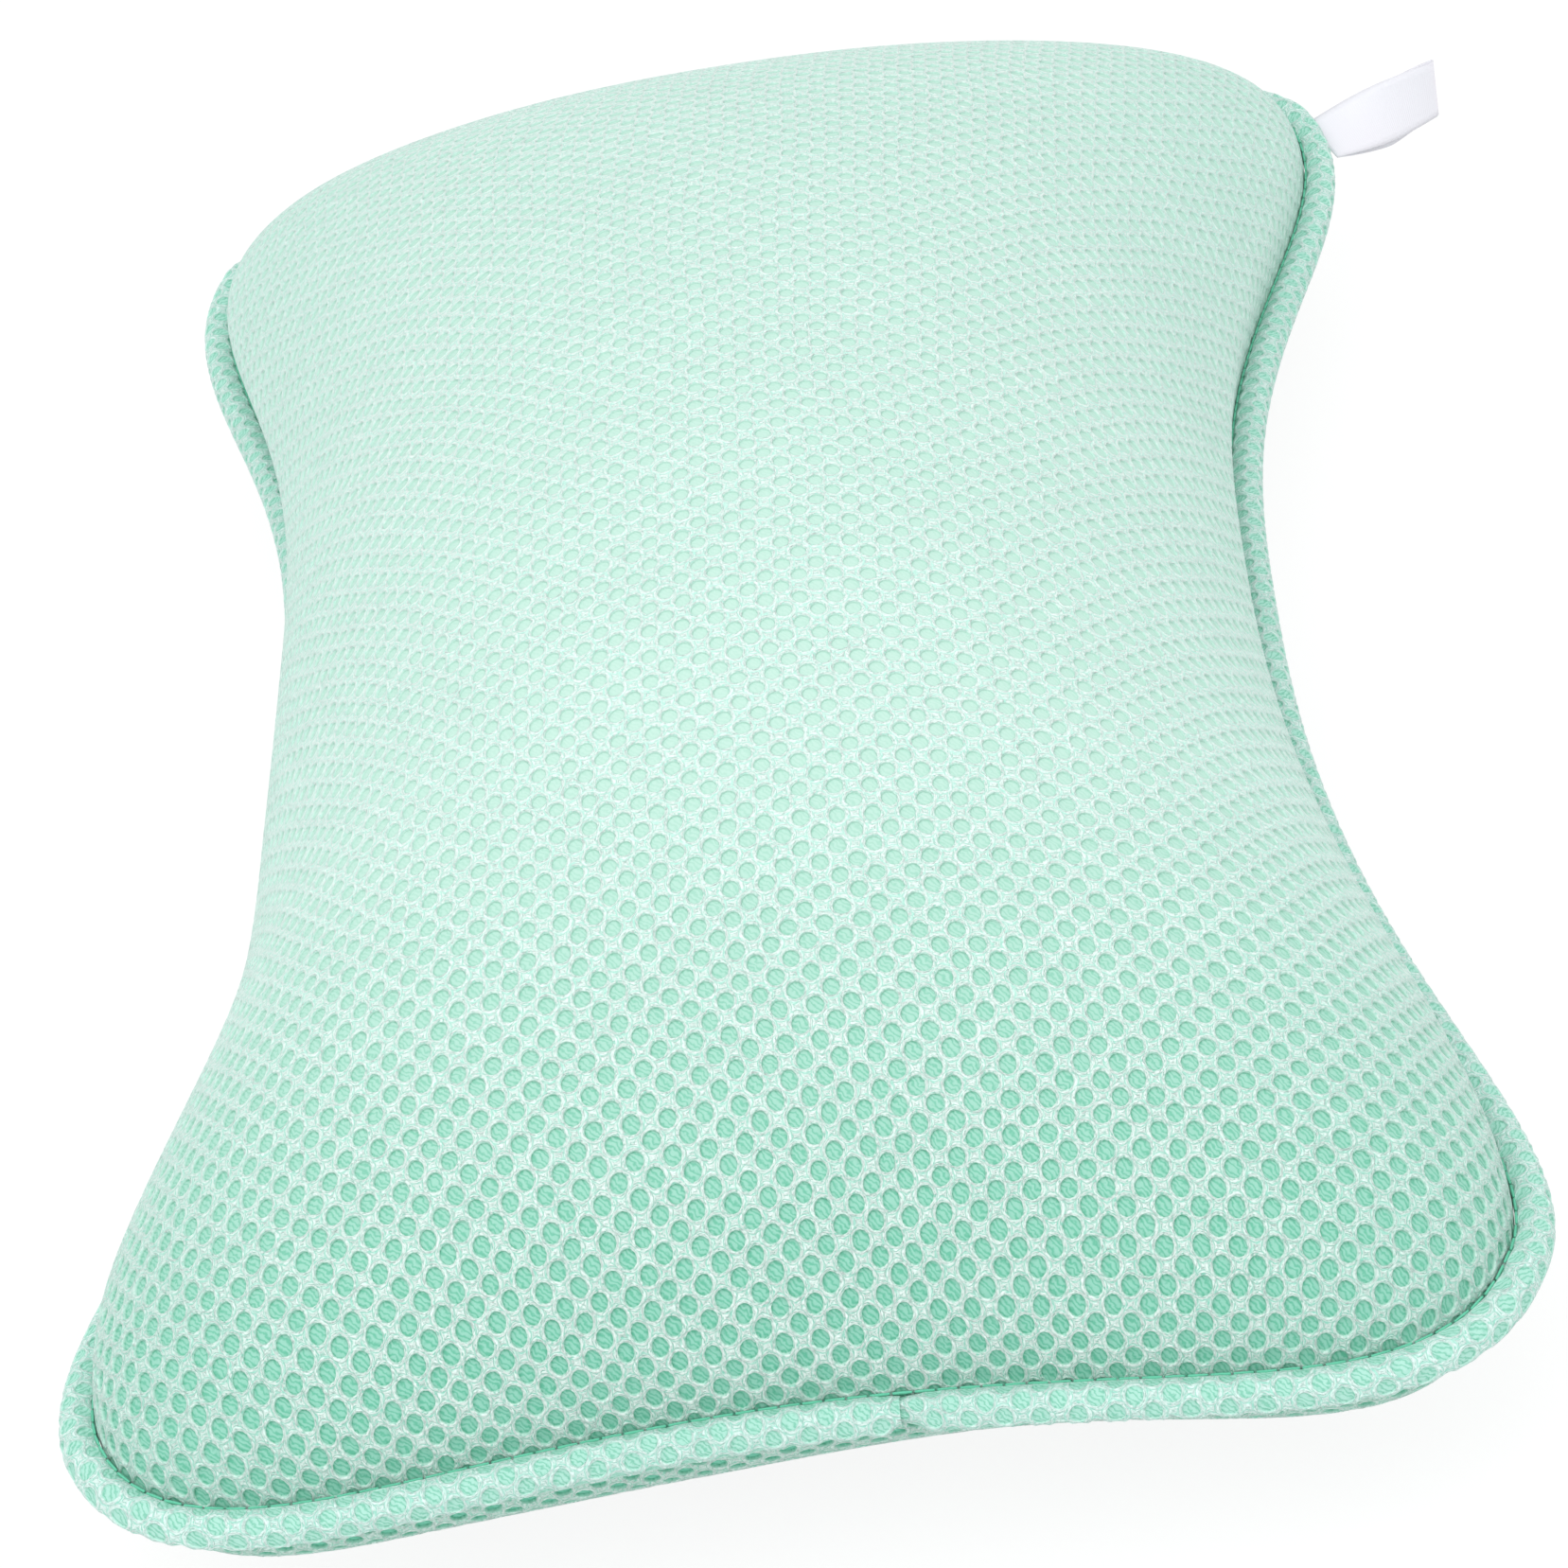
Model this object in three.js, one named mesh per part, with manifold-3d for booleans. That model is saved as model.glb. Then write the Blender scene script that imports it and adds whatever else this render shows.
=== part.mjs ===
// Bath pillow: an hourglass cushion of spacer mesh with a piped seam all round, a folded ribbon
// loop at one corner, and four suction cups that turn in eyelets on its flat back.
// Millimetres, +Z up, long axis along Y, cup rims on z = 0.
import * as THREE from 'three';
import { mergeVertices } from 'three/addons/utils/BufferGeometryUtils.js';
import Module from 'manifold-3d';

const wasm = await Module();
wasm.setup();

// Driving dimensions. Powers and counts are plain numbers. The pillow's square length and width
// are those of its outline before the corners are rounded and the ends are bowed in.
const pillow = {
  squareLength: 409,
  squareWidth: 250,
  waistWidth: 168,
  waistReachPower: 2.55,
  waistRoundPower: 1.94,
  cornerPullAcross: 14.7,
  cornerPullAlong: 24,
  endBow: 15.6,
  endBowPower: 1.8,
  crownRise: 76.5,
  crownPowerAcross: 2.12,
  crownRoundAcross: 0.564,
  crownPowerAlong: 2.45,
  crownRoundAlong: 0.504,
  leftSwell: 6,
  rightSwell: 4,
  endSwell: 1,
  swellHeight: 14,
  endLift: 6.6,
  cornerLift: 6.4,
  liftPower: 4,
  sideLift: 10.9,
  backDepth: 12,
  shoulderAcross: 33,
  shoulderAlong: 14,
  fabric: 3.2,
};
const flank = { drawnIn: 5.2, middle: -0.46, reach: 0.2 };
const thinCorner = { rise: 6, from: 0.6 };
const pucker = { lift: 5, middle: 0.3, reach: 0.33, endShare: 0.22 };
const grid = { shoulderCells: 5, flatCellsAcross: 8, flatCellsAlong: 12, roundSides: 24 };
const outlineFineness = 1 / 4096;
const piping = { radius: 3.1, tape: 1, jointFromMiddle: 14, sides: 11 };
const cup = {
  fromSide: 45.5,
  fromEnd: 79.5,
  rimRadius: 22.5,
  rimFlat: 2.4,
  rimEdge: 0.9,
  cavityHeight: 5.4,
  dishHeight: 8.6,
  hubRadius: 6.8,
  hubChamfer: 0.9,
  height: 13,
  neckRadius: 3.1,
  headRadius: 5.3,
  headEdge: 1.5,
  headHeight: 4.4,
  tabWidth: 9,
  tabReach: 6,
  tabOverlap: 3,
  tabThickness: 1.1,
  tabLift: 0.3,
};
const eyelet = {
  flangeRadius: 9.5,
  flangeThickness: 1.5,
  flangeEdge: 0.8,
  boreRadius: 3.6,
  barrelWall: 1.2,
  beadRadius: 0.5,
  beadHeight: 0.9,
  washerThickness: 1.2,
};
const patch = { radius: 15, thickness: 0.8 };
const ribbon = {
  width: 12,
  length: 28,
  thickness: 0.4,
  foldRadius: 1.2,
  sewnLength: 4,
  beforeCorner: 6,
};
const gap = 0.3;
const overrun = 1;

// Heights that follow from the stack of pieces between the tub wall and the pillow's seam
const flangeLevel = cup.height + gap;
const patchLevel = flangeLevel + eyelet.flangeThickness;
const backLevel = patchLevel + patch.thickness;
const liningLevel = backLevel + pillow.fabric;
const washerTop = liningLevel + eyelet.washerThickness;
const barrelTop = washerTop + eyelet.beadHeight;
const headLevel = barrelTop + gap;
const headTop = headLevel + cup.headHeight;
const seamLevel = backLevel + pillow.backDepth;
const barrelRadius = eyelet.boreRadius + eyelet.barrelWall;
const holeRadius = barrelRadius + gap;
const rimSplit = piping.tape / 2 + gap;

const colours = {
  mesh: 0xbfe8da,
  backMesh: 0xb2e2d2,
  piping: 0xcdeee3,
  filling: 0xf1f4f1,
  ribbon: 0xf4f5f8,
  patch: 0xa5dac8,
  eyelet: 0xeaf4f0,
  cup: 0xdde8ea,
};

function cloth(color) {
  return new THREE.MeshStandardMaterial({ color, roughness: 0.9, metalness: 0 });
}

function plastic(color, roughness) {
  return new THREE.MeshStandardMaterial({ color, roughness, metalness: 0 });
}

// The pillow is drawn on a square: s runs across it and t along it, each from -1 to 1.
const pullAcross = pillow.cornerPullAcross / (pillow.squareWidth / 2);
const pullAlong = pillow.cornerPullAlong / (pillow.squareLength / 2);

// Half the pillow's width at a share v of its half length
function halfWidthAt(v) {
  const waistShare = (1 - Math.abs(v) ** pillow.waistReachPower) ** pillow.waistRoundPower;
  const drawnIn = (pillow.squareWidth - pillow.waistWidth) * waistShare;
  return (pillow.squareWidth - drawnIn) / 2;
}

// How far the stuffing's unevenness draws in the near left flank, at shares u across and v along
function flankShift(u, v) {
  const fromMiddle = (v - flank.middle) / flank.reach;
  return flank.drawnIn * Math.exp(-(fromMiddle ** 2)) * Math.min(0, u) ** 2;
}

// Plan position of (s, t): rounded corners, drawn-in waist and bowed ends
function planPoint(s, t) {
  const u = s * (1 - pullAcross * Math.abs(t) ** (1 / pullAcross - 1));
  const v = t * (1 - pullAlong * Math.abs(s) ** (1 / pullAlong - 1));
  const halfLength = pillow.squareLength / 2 - pillow.endBow * (1 - Math.abs(u) ** pillow.endBowPower);
  return new THREE.Vector2(u * halfWidthAt(v) + flankShift(u, v), v * halfLength);
}

// The seam's height: lifted at the corners, in the middle of each end and most at the waist
function seamHeight(s, t) {
  const end = pillow.endLift * (1 - s * s) * Math.abs(t) ** pillow.liftPower;
  const corner = pillow.cornerLift * Math.abs(s * t) ** pillow.liftPower;
  const side = pillow.sideLift * s * s * (1 - t * t) ** 2;
  return seamLevel + end + corner + side;
}

// Plan position a small step on from (s, t) round the outline, counter-clockwise for way 1
function outlineStep(s, t, way) {
  const step = way * outlineFineness;
  const alongSide = [s, t + s * step];
  const acrossEnd = [s - t * step, t];
  const staysOnSide = Math.abs(s) === 1 && Math.abs(alongSide[1]) <= 1;
  return planPoint(...(staysOnSide ? alongSide : acrossEnd));
}

// The outline's point at (s, t), where s or t is 1 or -1, with its directions in plan
function outlineFrame(s, t) {
  const before = outlineStep(s, t, -1);
  const after = outlineStep(s, t, 1);
  const along = after.sub(before).normalize();
  const plan = planPoint(s, t);
  return {
    point: new THREE.Vector3(plan.x, plan.y, seamHeight(s, t)),
    along: new THREE.Vector3(along.x, along.y, 0),
    outward: new THREE.Vector3(along.y, -along.x, 0),
  };
}

// Plan position moved in by inset, square to the outline at the rim and less towards the middle
function insetPoint(s, t, inset) {
  const reach = Math.max(Math.abs(s), Math.abs(t));
  const plan = planPoint(s, t);
  if (inset === 0 || reach === 0) return plan;
  const { outward } = outlineFrame(s / reach, t / reach);
  return plan.sub(new THREE.Vector2(outward.x, outward.y).multiplyScalar(inset * reach));
}

// How much of its swell the stuffed front has at a rise over the seam: all of it at the swell's
// height, then less and less up to the crown
function swellShare(rise) {
  const share = Math.min(1, rise / pillow.swellHeight);
  return share * share * (3 - 2 * share) * (1 - rise / pillow.crownRise);
}

// Front crown, moved in by inset. Its sides and ends swell out over the seam, but not at the corners.
function crownPoint(s, t, inset) {
  const across = (1 - Math.abs(s) ** pillow.crownPowerAcross) ** pillow.crownRoundAcross;
  const along = (1 - Math.abs(t) ** pillow.crownPowerAlong) ** pillow.crownRoundAlong;
  const swell = swellShare(pillow.crownRise * across * along);
  const plan = insetPoint(s, t, inset);
  const sideSwell = s < 0 ? pillow.leftSwell : pillow.rightSwell;
  plan.x += sideSwell * swell * s * Math.abs(s) * (1 - t ** 4);
  plan.y += pillow.endSwell * swell * t * Math.abs(t) * (1 - s ** 4);
  const rise = (pillow.crownRise - inset) * across * along;
  return new THREE.Vector3(plan.x, plan.y, seamHeight(s, t) + rimSplit + rise);
}

const flatAcross = 1 - pillow.shoulderAcross / (pillow.squareWidth / 2);
const flatAlong = 1 - pillow.shoulderAlong / (pillow.squareLength / 2);

// 1 on the flat of the back, falling in a quarter round to 0 at the seam
function shoulder(a, flat) {
  const x = Math.max(0, (Math.abs(a) - flat) / (1 - flat));
  return Math.sqrt(1 - x * x);
}

// How far the sewing of the piping's joint draws up the back at the near end
function puckerHeight(s, t) {
  const fromMiddle = (s - pucker.middle) / pucker.reach;
  const nearEnd = Math.max(0, 1 - (1 + t) / pucker.endShare);
  return pucker.lift * Math.exp(-(fromMiddle ** 2)) * nearEnd ** 2;
}

// How much higher the back lies towards a corner, where the pillow holds less filling
function cornerHeight(s, t) {
  const towardsCorner = Math.max(0, Math.abs(s * t) - thinCorner.from) / (1 - thinCorner.from);
  return thinCorner.rise * towardsCorner ** 2;
}

// Back with its flat, moved in by inset
function backPoint(s, t, inset) {
  const share = shoulder(s, flatAcross) * shoulder(t, flatAlong);
  const rim = seamHeight(s, t) - rimSplit;
  const flat = backLevel + inset + puckerHeight(s, t) + cornerHeight(s, t);
  const plan = insetPoint(s, t, inset);
  return new THREE.Vector3(plan.x, plan.y, rim + (flat - rim) * share);
}

// Samples from -1 to 1: even over the flat, then closer and closer towards the seam
function samples(flat, flatCells) {
  const list = [];
  for (let i = grid.shoulderCells; i > 0; i -= 1) {
    list.push(-flat - (1 - flat) * Math.sin((Math.PI / 2) * (i / grid.shoulderCells)));
  }
  for (let i = 0; i <= flatCells; i += 1) {
    list.push(flat * ((2 * i) / flatCells - 1));
  }
  for (let i = 1; i <= grid.shoulderCells; i += 1) {
    list.push(flat + (1 - flat) * Math.sin((Math.PI / 2) * (i / grid.shoulderCells)));
  }
  return list;
}

const acrossSamples = samples(flatAcross, grid.flatCellsAcross);
const alongSamples = samples(flatAlong, grid.flatCellsAlong);

// The (s, t) stations of the outline, counter-clockwise from above
function outlineStations() {
  const forwards = alongSamples.slice(0, -1);
  const leftwards = [...acrossSamples].reverse().slice(0, -1);
  const backwards = [...alongSamples].reverse().slice(0, -1);
  const rightwards = acrossSamples.slice(0, -1);
  return [
    ...rightwards.map((s) => [s, -1]),
    ...forwards.map((t) => [1, t]),
    ...leftwards.map((s) => [s, 1]),
    ...backwards.map((t) => [-1, t]),
  ];
}

function meshGeometry(points, triangles) {
  const geometry = new THREE.BufferGeometry();
  geometry.setAttribute('position', new THREE.Float32BufferAttribute(points.flatMap((p) => [...p]), 3));
  geometry.setIndex(triangles.flat());
  return geometry;
}

// The closed solid between an upper and a lower surface, joined round the outline
function slab(upper, lower) {
  const columns = alongSamples.length;
  const points = [];
  for (const surface of [upper, lower]) {
    for (const s of acrossSamples) {
      for (const t of alongSamples) {
        points.push(surface(s, t));
      }
    }
  }
  const layer = points.length / 2;
  const at = (i, j) => i * columns + j;
  const triangles = [];
  for (let i = 0; i < acrossSamples.length - 1; i += 1) {
    for (let j = 0; j < columns - 1; j += 1) {
      const [a, b, c, d] = [at(i, j), at(i + 1, j), at(i + 1, j + 1), at(i, j + 1)];
      triangles.push([a, b, c], [a, c, d]);
      triangles.push([c + layer, b + layer, a + layer], [d + layer, c + layer, a + layer]);
    }
  }
  const last = acrossSamples.length - 1;
  const rim = [];
  acrossSamples.forEach((s, i) => rim.push(at(i, 0)));
  alongSamples.slice(1).forEach((t, j) => rim.push(at(last, j + 1)));
  acrossSamples.slice(1).forEach((s, i) => rim.push(at(last - 1 - i, columns - 1)));
  alongSamples.slice(1, -1).forEach((t, j) => rim.push(at(0, columns - 2 - j)));
  rim.forEach((a, k) => {
    const b = rim[(k + 1) % rim.length];
    triangles.push([a, a + layer, b + layer], [a, b + layer, b]);
  });
  return meshGeometry(points, triangles);
}

// Solids for cutting and joining
function toSolid(geometry) {
  const bare = geometry.clone();
  bare.deleteAttribute('normal');
  bare.deleteAttribute('uv');
  const merged = mergeVertices(bare);
  const index = merged.index.array;
  const triVerts = [];
  for (let k = 0; k < index.length; k += 3) {
    const [a, b, c] = [index[k], index[k + 1], index[k + 2]];
    if (a !== b && b !== c && c !== a) triVerts.push(a, b, c);
  }
  const mesh = new wasm.Mesh({
    numProp: 3,
    vertProperties: new Float32Array(merged.attributes.position.array),
    triVerts: new Uint32Array(triVerts),
  });
  return new wasm.Manifold(mesh);
}

function toGeometry(solid) {
  const mesh = solid.getMesh();
  const geometry = new THREE.BufferGeometry();
  geometry.setAttribute('position', new THREE.BufferAttribute(mesh.vertProperties, 3));
  geometry.setIndex(new THREE.BufferAttribute(mesh.triVerts, 1));
  return geometry;
}

// A solid turned about Z from an outline of (radius, height)
function turned(outline, curvePoints) {
  const geometry = new THREE.LatheGeometry(outline.getPoints(curvePoints), grid.roundSides);
  return geometry.rotateX(Math.PI / 2);
}

const assembly = new THREE.Group();

function addMesh(name, geometry, material, parent = assembly) {
  const mesh = new THREE.Mesh(geometry, material);
  mesh.name = name;
  parent.add(mesh);
  return mesh;
}

// The cups' places, counted from the near left one
const cupAlong = pillow.squareLength / 2 - cup.fromEnd;
const cupAcross = halfWidthAt(cupAlong / (pillow.squareLength / 2)) - cup.fromSide;
const cupPlaces = [];
for (const y of [-1, 1]) {
  for (const x of [-1, 1]) {
    cupPlaces.push(new THREE.Vector2(x * cupAcross, y * cupAlong));
  }
}

// Front cover, crowned
function frontCover() {
  return slab((s, t) => crownPoint(s, t, 0), (s, t) => crownPoint(s, t, pillow.fabric));
}

// Back cover, with a hole for each eyelet's barrel
function backCover() {
  let solid = toSolid(slab((s, t) => backPoint(s, t, pillow.fabric), (s, t) => backPoint(s, t, 0)));
  const depth = pillow.fabric + 2 * overrun;
  for (const place of cupPlaces) {
    const hole = new THREE.CylinderGeometry(holeRadius, holeRadius, depth, grid.roundSides);
    hole.rotateX(Math.PI / 2).translate(place.x, place.y, backLevel + pillow.fabric / 2);
    solid = solid.subtract(toSolid(hole));
  }
  return toGeometry(solid);
}

// Fibre filling, with a stepped pocket for each washer and cup head
function filling() {
  const inset = pillow.fabric + gap;
  let solid = toSolid(slab((s, t) => crownPoint(s, t, inset), (s, t) => backPoint(s, t, inset)));
  const pocket = new THREE.Path();
  pocket.moveTo(0, liningLevel - overrun);
  pocket.lineTo(eyelet.flangeRadius + gap, liningLevel - overrun);
  pocket.lineTo(eyelet.flangeRadius + gap, barrelTop + gap);
  pocket.lineTo(cup.headRadius + gap, barrelTop + gap);
  pocket.lineTo(cup.headRadius + gap, headTop + gap);
  pocket.lineTo(0, headTop + gap);
  for (const place of cupPlaces) {
    solid = solid.subtract(toSolid(turned(pocket, 1).translate(place.x, place.y, 0)));
  }
  return toGeometry(solid);
}

// The piping's section: a round roll with a flat tape that lies between the covers' rims
function pipingSection() {
  const half = piping.tape / 2;
  const start = Math.PI - Math.asin(half / piping.radius);
  const centre = gap + piping.radius;
  const section = [new THREE.Vector2(-pillow.fabric, -half)];
  for (let k = 0; k < piping.sides; k += 1) {
    const angle = start * ((2 * k) / (piping.sides - 1) - 1);
    const out = centre + piping.radius * Math.cos(angle);
    section.push(new THREE.Vector2(out, piping.radius * Math.sin(angle)));
  }
  section.push(new THREE.Vector2(-pillow.fabric, half));
  return section;
}

// Piping: the section swept once round the outline, from one side of its butt joint to the other
function pipingSweep() {
  const jointShare = piping.jointFromMiddle / (pillow.squareWidth / 2);
  const stations = outlineStations();
  const first = stations.findIndex(([s, t]) => t === -1 && s > jointShare);
  const frames = [...stations.slice(first), ...stations.slice(0, first)].map(([s, t]) => outlineFrame(s, t));
  const joint = outlineFrame(jointShare, -1);
  const end = { ...joint, point: joint.point.clone().addScaledVector(joint.along, -gap) };
  const path = [joint, ...frames, end];
  const section = pipingSection();
  const points = [];
  for (const frame of path) {
    for (const corner of section) {
      const point = frame.point.clone().addScaledVector(frame.outward, corner.x);
      point.z += corner.y;
      points.push(point);
    }
  }
  const count = section.length;
  const triangles = [];
  for (let i = 0; i < path.length - 1; i += 1) {
    for (let k = 0; k < count; k += 1) {
      const [a, b] = [i * count + k, i * count + ((k + 1) % count)];
      triangles.push([a, a + count, b], [b, a + count, b + count]);
    }
  }
  const faces = THREE.ShapeUtils.triangulateShape(section, []);
  const lastRing = (path.length - 1) * count;
  for (const [a, b, c] of faces) {
    triangles.push([a, b, c], [c + lastRing, b + lastRing, a + lastRing]);
  }
  return meshGeometry(points, triangles);
}

// Ribbon loop: a strip folded in two, its layers sewn flat at the root and open at the fold.
// It starts on the hinge line, where its root is rounded.
function ribbonLoop() {
  const half = ribbon.thickness;
  const foldStart = ribbon.length - ribbon.foldRadius;
  const middle = (ribbon.sewnLength + foldStart) / 2;
  const outer = new THREE.Shape();
  outer.absarc(0, 0, half, Math.PI / 2, (3 * Math.PI) / 2);
  outer.lineTo(ribbon.sewnLength, -half);
  outer.bezierCurveTo(middle, -half, middle, -ribbon.foldRadius, foldStart, -ribbon.foldRadius);
  outer.absarc(foldStart, 0, ribbon.foldRadius, -Math.PI / 2, Math.PI / 2);
  outer.bezierCurveTo(middle, ribbon.foldRadius, middle, half, ribbon.sewnLength, half);
  outer.closePath();
  const innerRadius = ribbon.foldRadius - ribbon.thickness;
  const inner = new THREE.Path();
  inner.moveTo(ribbon.sewnLength, 0);
  inner.bezierCurveTo(middle, 0, middle, innerRadius, foldStart, innerRadius);
  inner.absarc(foldStart, 0, innerRadius, Math.PI / 2, -Math.PI / 2, true);
  inner.bezierCurveTo(middle, -innerRadius, middle, 0, ribbon.sewnLength, 0);
  outer.holes.push(inner);
  const geometry = new THREE.ExtrudeGeometry(outer, {
    depth: ribbon.width,
    bevelEnabled: false,
    curveSegments: 6,
  });
  return geometry.rotateX(Math.PI / 2).translate(0, ribbon.width / 2, 0);
}

// Suction cup: a thin dished rim with a flat sealing ring, a hub, a neck and a mushroom head
function suctionCup() {
  const outline = new THREE.Path();
  outline.moveTo(0, cup.cavityHeight);
  const sealInner = cup.rimRadius - cup.rimFlat;
  outline.quadraticCurveTo(sealInner / 2, cup.cavityHeight, sealInner, 0);
  outline.lineTo(cup.rimRadius, 0);
  outline.lineTo(cup.rimRadius, cup.rimEdge);
  outline.quadraticCurveTo(cup.rimRadius / 2, cup.dishHeight, cup.hubRadius, cup.dishHeight);
  outline.lineTo(cup.hubRadius, cup.height - cup.hubChamfer);
  outline.lineTo(cup.hubRadius - cup.hubChamfer, cup.height);
  outline.lineTo(cup.neckRadius, cup.height);
  outline.lineTo(cup.neckRadius, headLevel);
  outline.lineTo(cup.headRadius, headLevel);
  outline.lineTo(cup.headRadius, headLevel + cup.headEdge);
  outline.quadraticCurveTo(cup.headRadius, headTop, 0, headTop);
  const body = toSolid(turned(outline, 3));

  const tab = new THREE.Shape();
  const reach = cup.rimRadius + cup.tabReach - cup.tabWidth / 2;
  tab.moveTo(cup.rimRadius - cup.tabOverlap, -cup.tabWidth / 2);
  tab.lineTo(reach, -cup.tabWidth / 2);
  tab.absarc(reach, 0, cup.tabWidth / 2, -Math.PI / 2, Math.PI / 2);
  tab.lineTo(cup.rimRadius - cup.tabOverlap, cup.tabWidth / 2);
  const tongue = new THREE.ExtrudeGeometry(tab, {
    depth: cup.tabThickness,
    bevelEnabled: false,
    curveSegments: 8,
  });
  return toGeometry(body.add(toSolid(tongue.translate(0, 0, cup.tabLift))));
}

// Eyelet: flange, barrel and snap bead in one, up from the flange's outer face
function eyeletBody() {
  const barrelEnd = barrelTop - flangeLevel;
  const beadBase = washerTop - flangeLevel;
  const outline = new THREE.Path();
  outline.moveTo(eyelet.boreRadius, 0);
  outline.lineTo(eyelet.flangeRadius - eyelet.flangeEdge, 0);
  outline.quadraticCurveTo(eyelet.flangeRadius, 0, eyelet.flangeRadius, eyelet.flangeEdge);
  outline.lineTo(eyelet.flangeRadius, eyelet.flangeThickness);
  outline.lineTo(barrelRadius, eyelet.flangeThickness);
  outline.lineTo(barrelRadius, beadBase);
  outline.lineTo(barrelRadius + eyelet.beadRadius, beadBase);
  outline.lineTo(barrelRadius, barrelEnd);
  outline.lineTo(eyelet.boreRadius, barrelEnd);
  outline.closePath();
  return turned(outline, 2);
}

// A flat ring, up from its lower face
function ring(innerRadius, outerRadius, thickness) {
  const outline = new THREE.Path();
  outline.moveTo(innerRadius, 0);
  outline.lineTo(outerRadius, 0);
  outline.lineTo(outerRadius, thickness);
  outline.lineTo(innerRadius, thickness);
  outline.closePath();
  return turned(outline, 1);
}

addMesh('front_cover', frontCover(), cloth(colours.mesh));
addMesh('back_cover', backCover(), cloth(colours.backMesh));
addMesh('piping', pipingSweep(), cloth(colours.piping));
addMesh('filling', filling(), cloth(colours.filling));

const cornerShare = 1 - ribbon.beforeCorner / (pillow.squareLength / 2);
const anchor = outlineFrame(1, cornerShare);
const hinge = new THREE.Group();
const hingeReach = gap + 2 * piping.radius + gap + ribbon.thickness;
hinge.position.copy(anchor.point).addScaledVector(anchor.outward, hingeReach);
hinge.rotation.z = Math.atan2(anchor.outward.y, anchor.outward.x);
assembly.add(hinge);
addMesh('ribbon_loop', ribbonLoop(), cloth(colours.ribbon), hinge);

cupPlaces.forEach((place, index) => {
  const mount = new THREE.Group();
  mount.position.set(place.x, place.y, 0);
  assembly.add(mount);
  const number = index + 1;
  const turnedCup = addMesh(`suction_cup_${number}`, suctionCup(), plastic(colours.cup, 0.25), mount);
  turnedCup.rotation.z = place.x > 0 ? 0 : Math.PI;
  const body = addMesh(`eyelet_${number}`, eyeletBody(), plastic(colours.eyelet, 0.4), mount);
  body.position.z = flangeLevel;
  const patchRing = ring(holeRadius, patch.radius, patch.thickness);
  const sewn = addMesh(`eyelet_patch_${number}`, patchRing, cloth(colours.patch), mount);
  sewn.position.z = patchLevel;
  const washerRing = ring(holeRadius, eyelet.flangeRadius, eyelet.washerThickness);
  const washer = addMesh(`eyelet_washer_${number}`, washerRing, plastic(colours.eyelet, 0.4), mount);
  washer.position.z = liningLevel;
});

// The origin lies below the middle of the whole, ribbon included.
const box = new THREE.Box3().setFromObject(assembly);
assembly.position.x = -(box.min.x + box.max.x) / 2;
assembly.position.y = -(box.min.y + box.max.y) / 2;
const group = new THREE.Group();
group.add(assembly);

export default group;
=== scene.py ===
import math

import bmesh
import bpy
import numpy as np
from mathutils import Matrix, Vector
from mathutils.bvhtree import BVHTree


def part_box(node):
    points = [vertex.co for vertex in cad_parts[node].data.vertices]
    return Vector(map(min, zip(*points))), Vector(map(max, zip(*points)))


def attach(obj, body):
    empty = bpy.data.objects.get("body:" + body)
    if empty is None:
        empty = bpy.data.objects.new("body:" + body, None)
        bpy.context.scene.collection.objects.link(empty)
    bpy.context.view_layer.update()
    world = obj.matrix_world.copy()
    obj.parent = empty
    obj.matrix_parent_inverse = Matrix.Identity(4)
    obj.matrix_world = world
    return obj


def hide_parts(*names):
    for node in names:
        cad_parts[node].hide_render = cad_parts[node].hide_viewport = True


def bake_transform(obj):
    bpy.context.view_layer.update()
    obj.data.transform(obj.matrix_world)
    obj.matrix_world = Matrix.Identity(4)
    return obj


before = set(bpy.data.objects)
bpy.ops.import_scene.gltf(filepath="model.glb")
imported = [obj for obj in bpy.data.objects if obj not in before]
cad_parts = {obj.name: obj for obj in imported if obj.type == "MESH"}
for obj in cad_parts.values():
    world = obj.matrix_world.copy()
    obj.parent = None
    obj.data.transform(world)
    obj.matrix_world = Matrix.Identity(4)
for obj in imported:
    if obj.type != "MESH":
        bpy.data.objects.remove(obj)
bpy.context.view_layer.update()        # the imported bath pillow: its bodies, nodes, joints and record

# Lengths are in metres. +Z is up out of the crowned front, +Y runs along the pillow, and the
# suction cups stand on z = 0. Outline and crown repeat the solids' driving dimensions.
SQUARE_LENGTH = 0.409
SQUARE_WIDTH = 0.250
WAIST_WIDTH = 0.168
WAIST_REACH_POWER = 2.55
WAIST_ROUND_POWER = 1.94
CORNER_PULL_ACROSS = 0.0147
CORNER_PULL_ALONG = 0.024
END_BOW = 0.0156
END_BOW_POWER = 1.8
CROWN_RISE = 0.0765
CROWN_POWER_ACROSS = 2.12
CROWN_ROUND_ACROSS = 0.564
CROWN_POWER_ALONG = 2.45
CROWN_ROUND_ALONG = 0.504
LEFT_SWELL = 0.006
RIGHT_SWELL = 0.004
END_SWELL = 0.001
SWELL_HEIGHT = 0.014
FLANK_DRAWN_IN = 0.0052
FLANK_MIDDLE = -0.46
FLANK_REACH = 0.2
END_LIFT = 0.0066
CORNER_LIFT = 0.0064
LIFT_POWER = 4
SIDE_LIFT = 0.0109
BACK_DEPTH = 0.012
SHOULDER_ACROSS = 0.033
SHOULDER_ALONG = 0.014
PUCKER_LIFT = 0.005
PUCKER_MIDDLE = 0.3
PUCKER_REACH = 0.33
PUCKER_END_SHARE = 0.22
CORNER_RISE = 0.006
CORNER_FROM = 0.6
FABRIC = 0.0032
RIM_SPLIT = 0.0008

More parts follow.
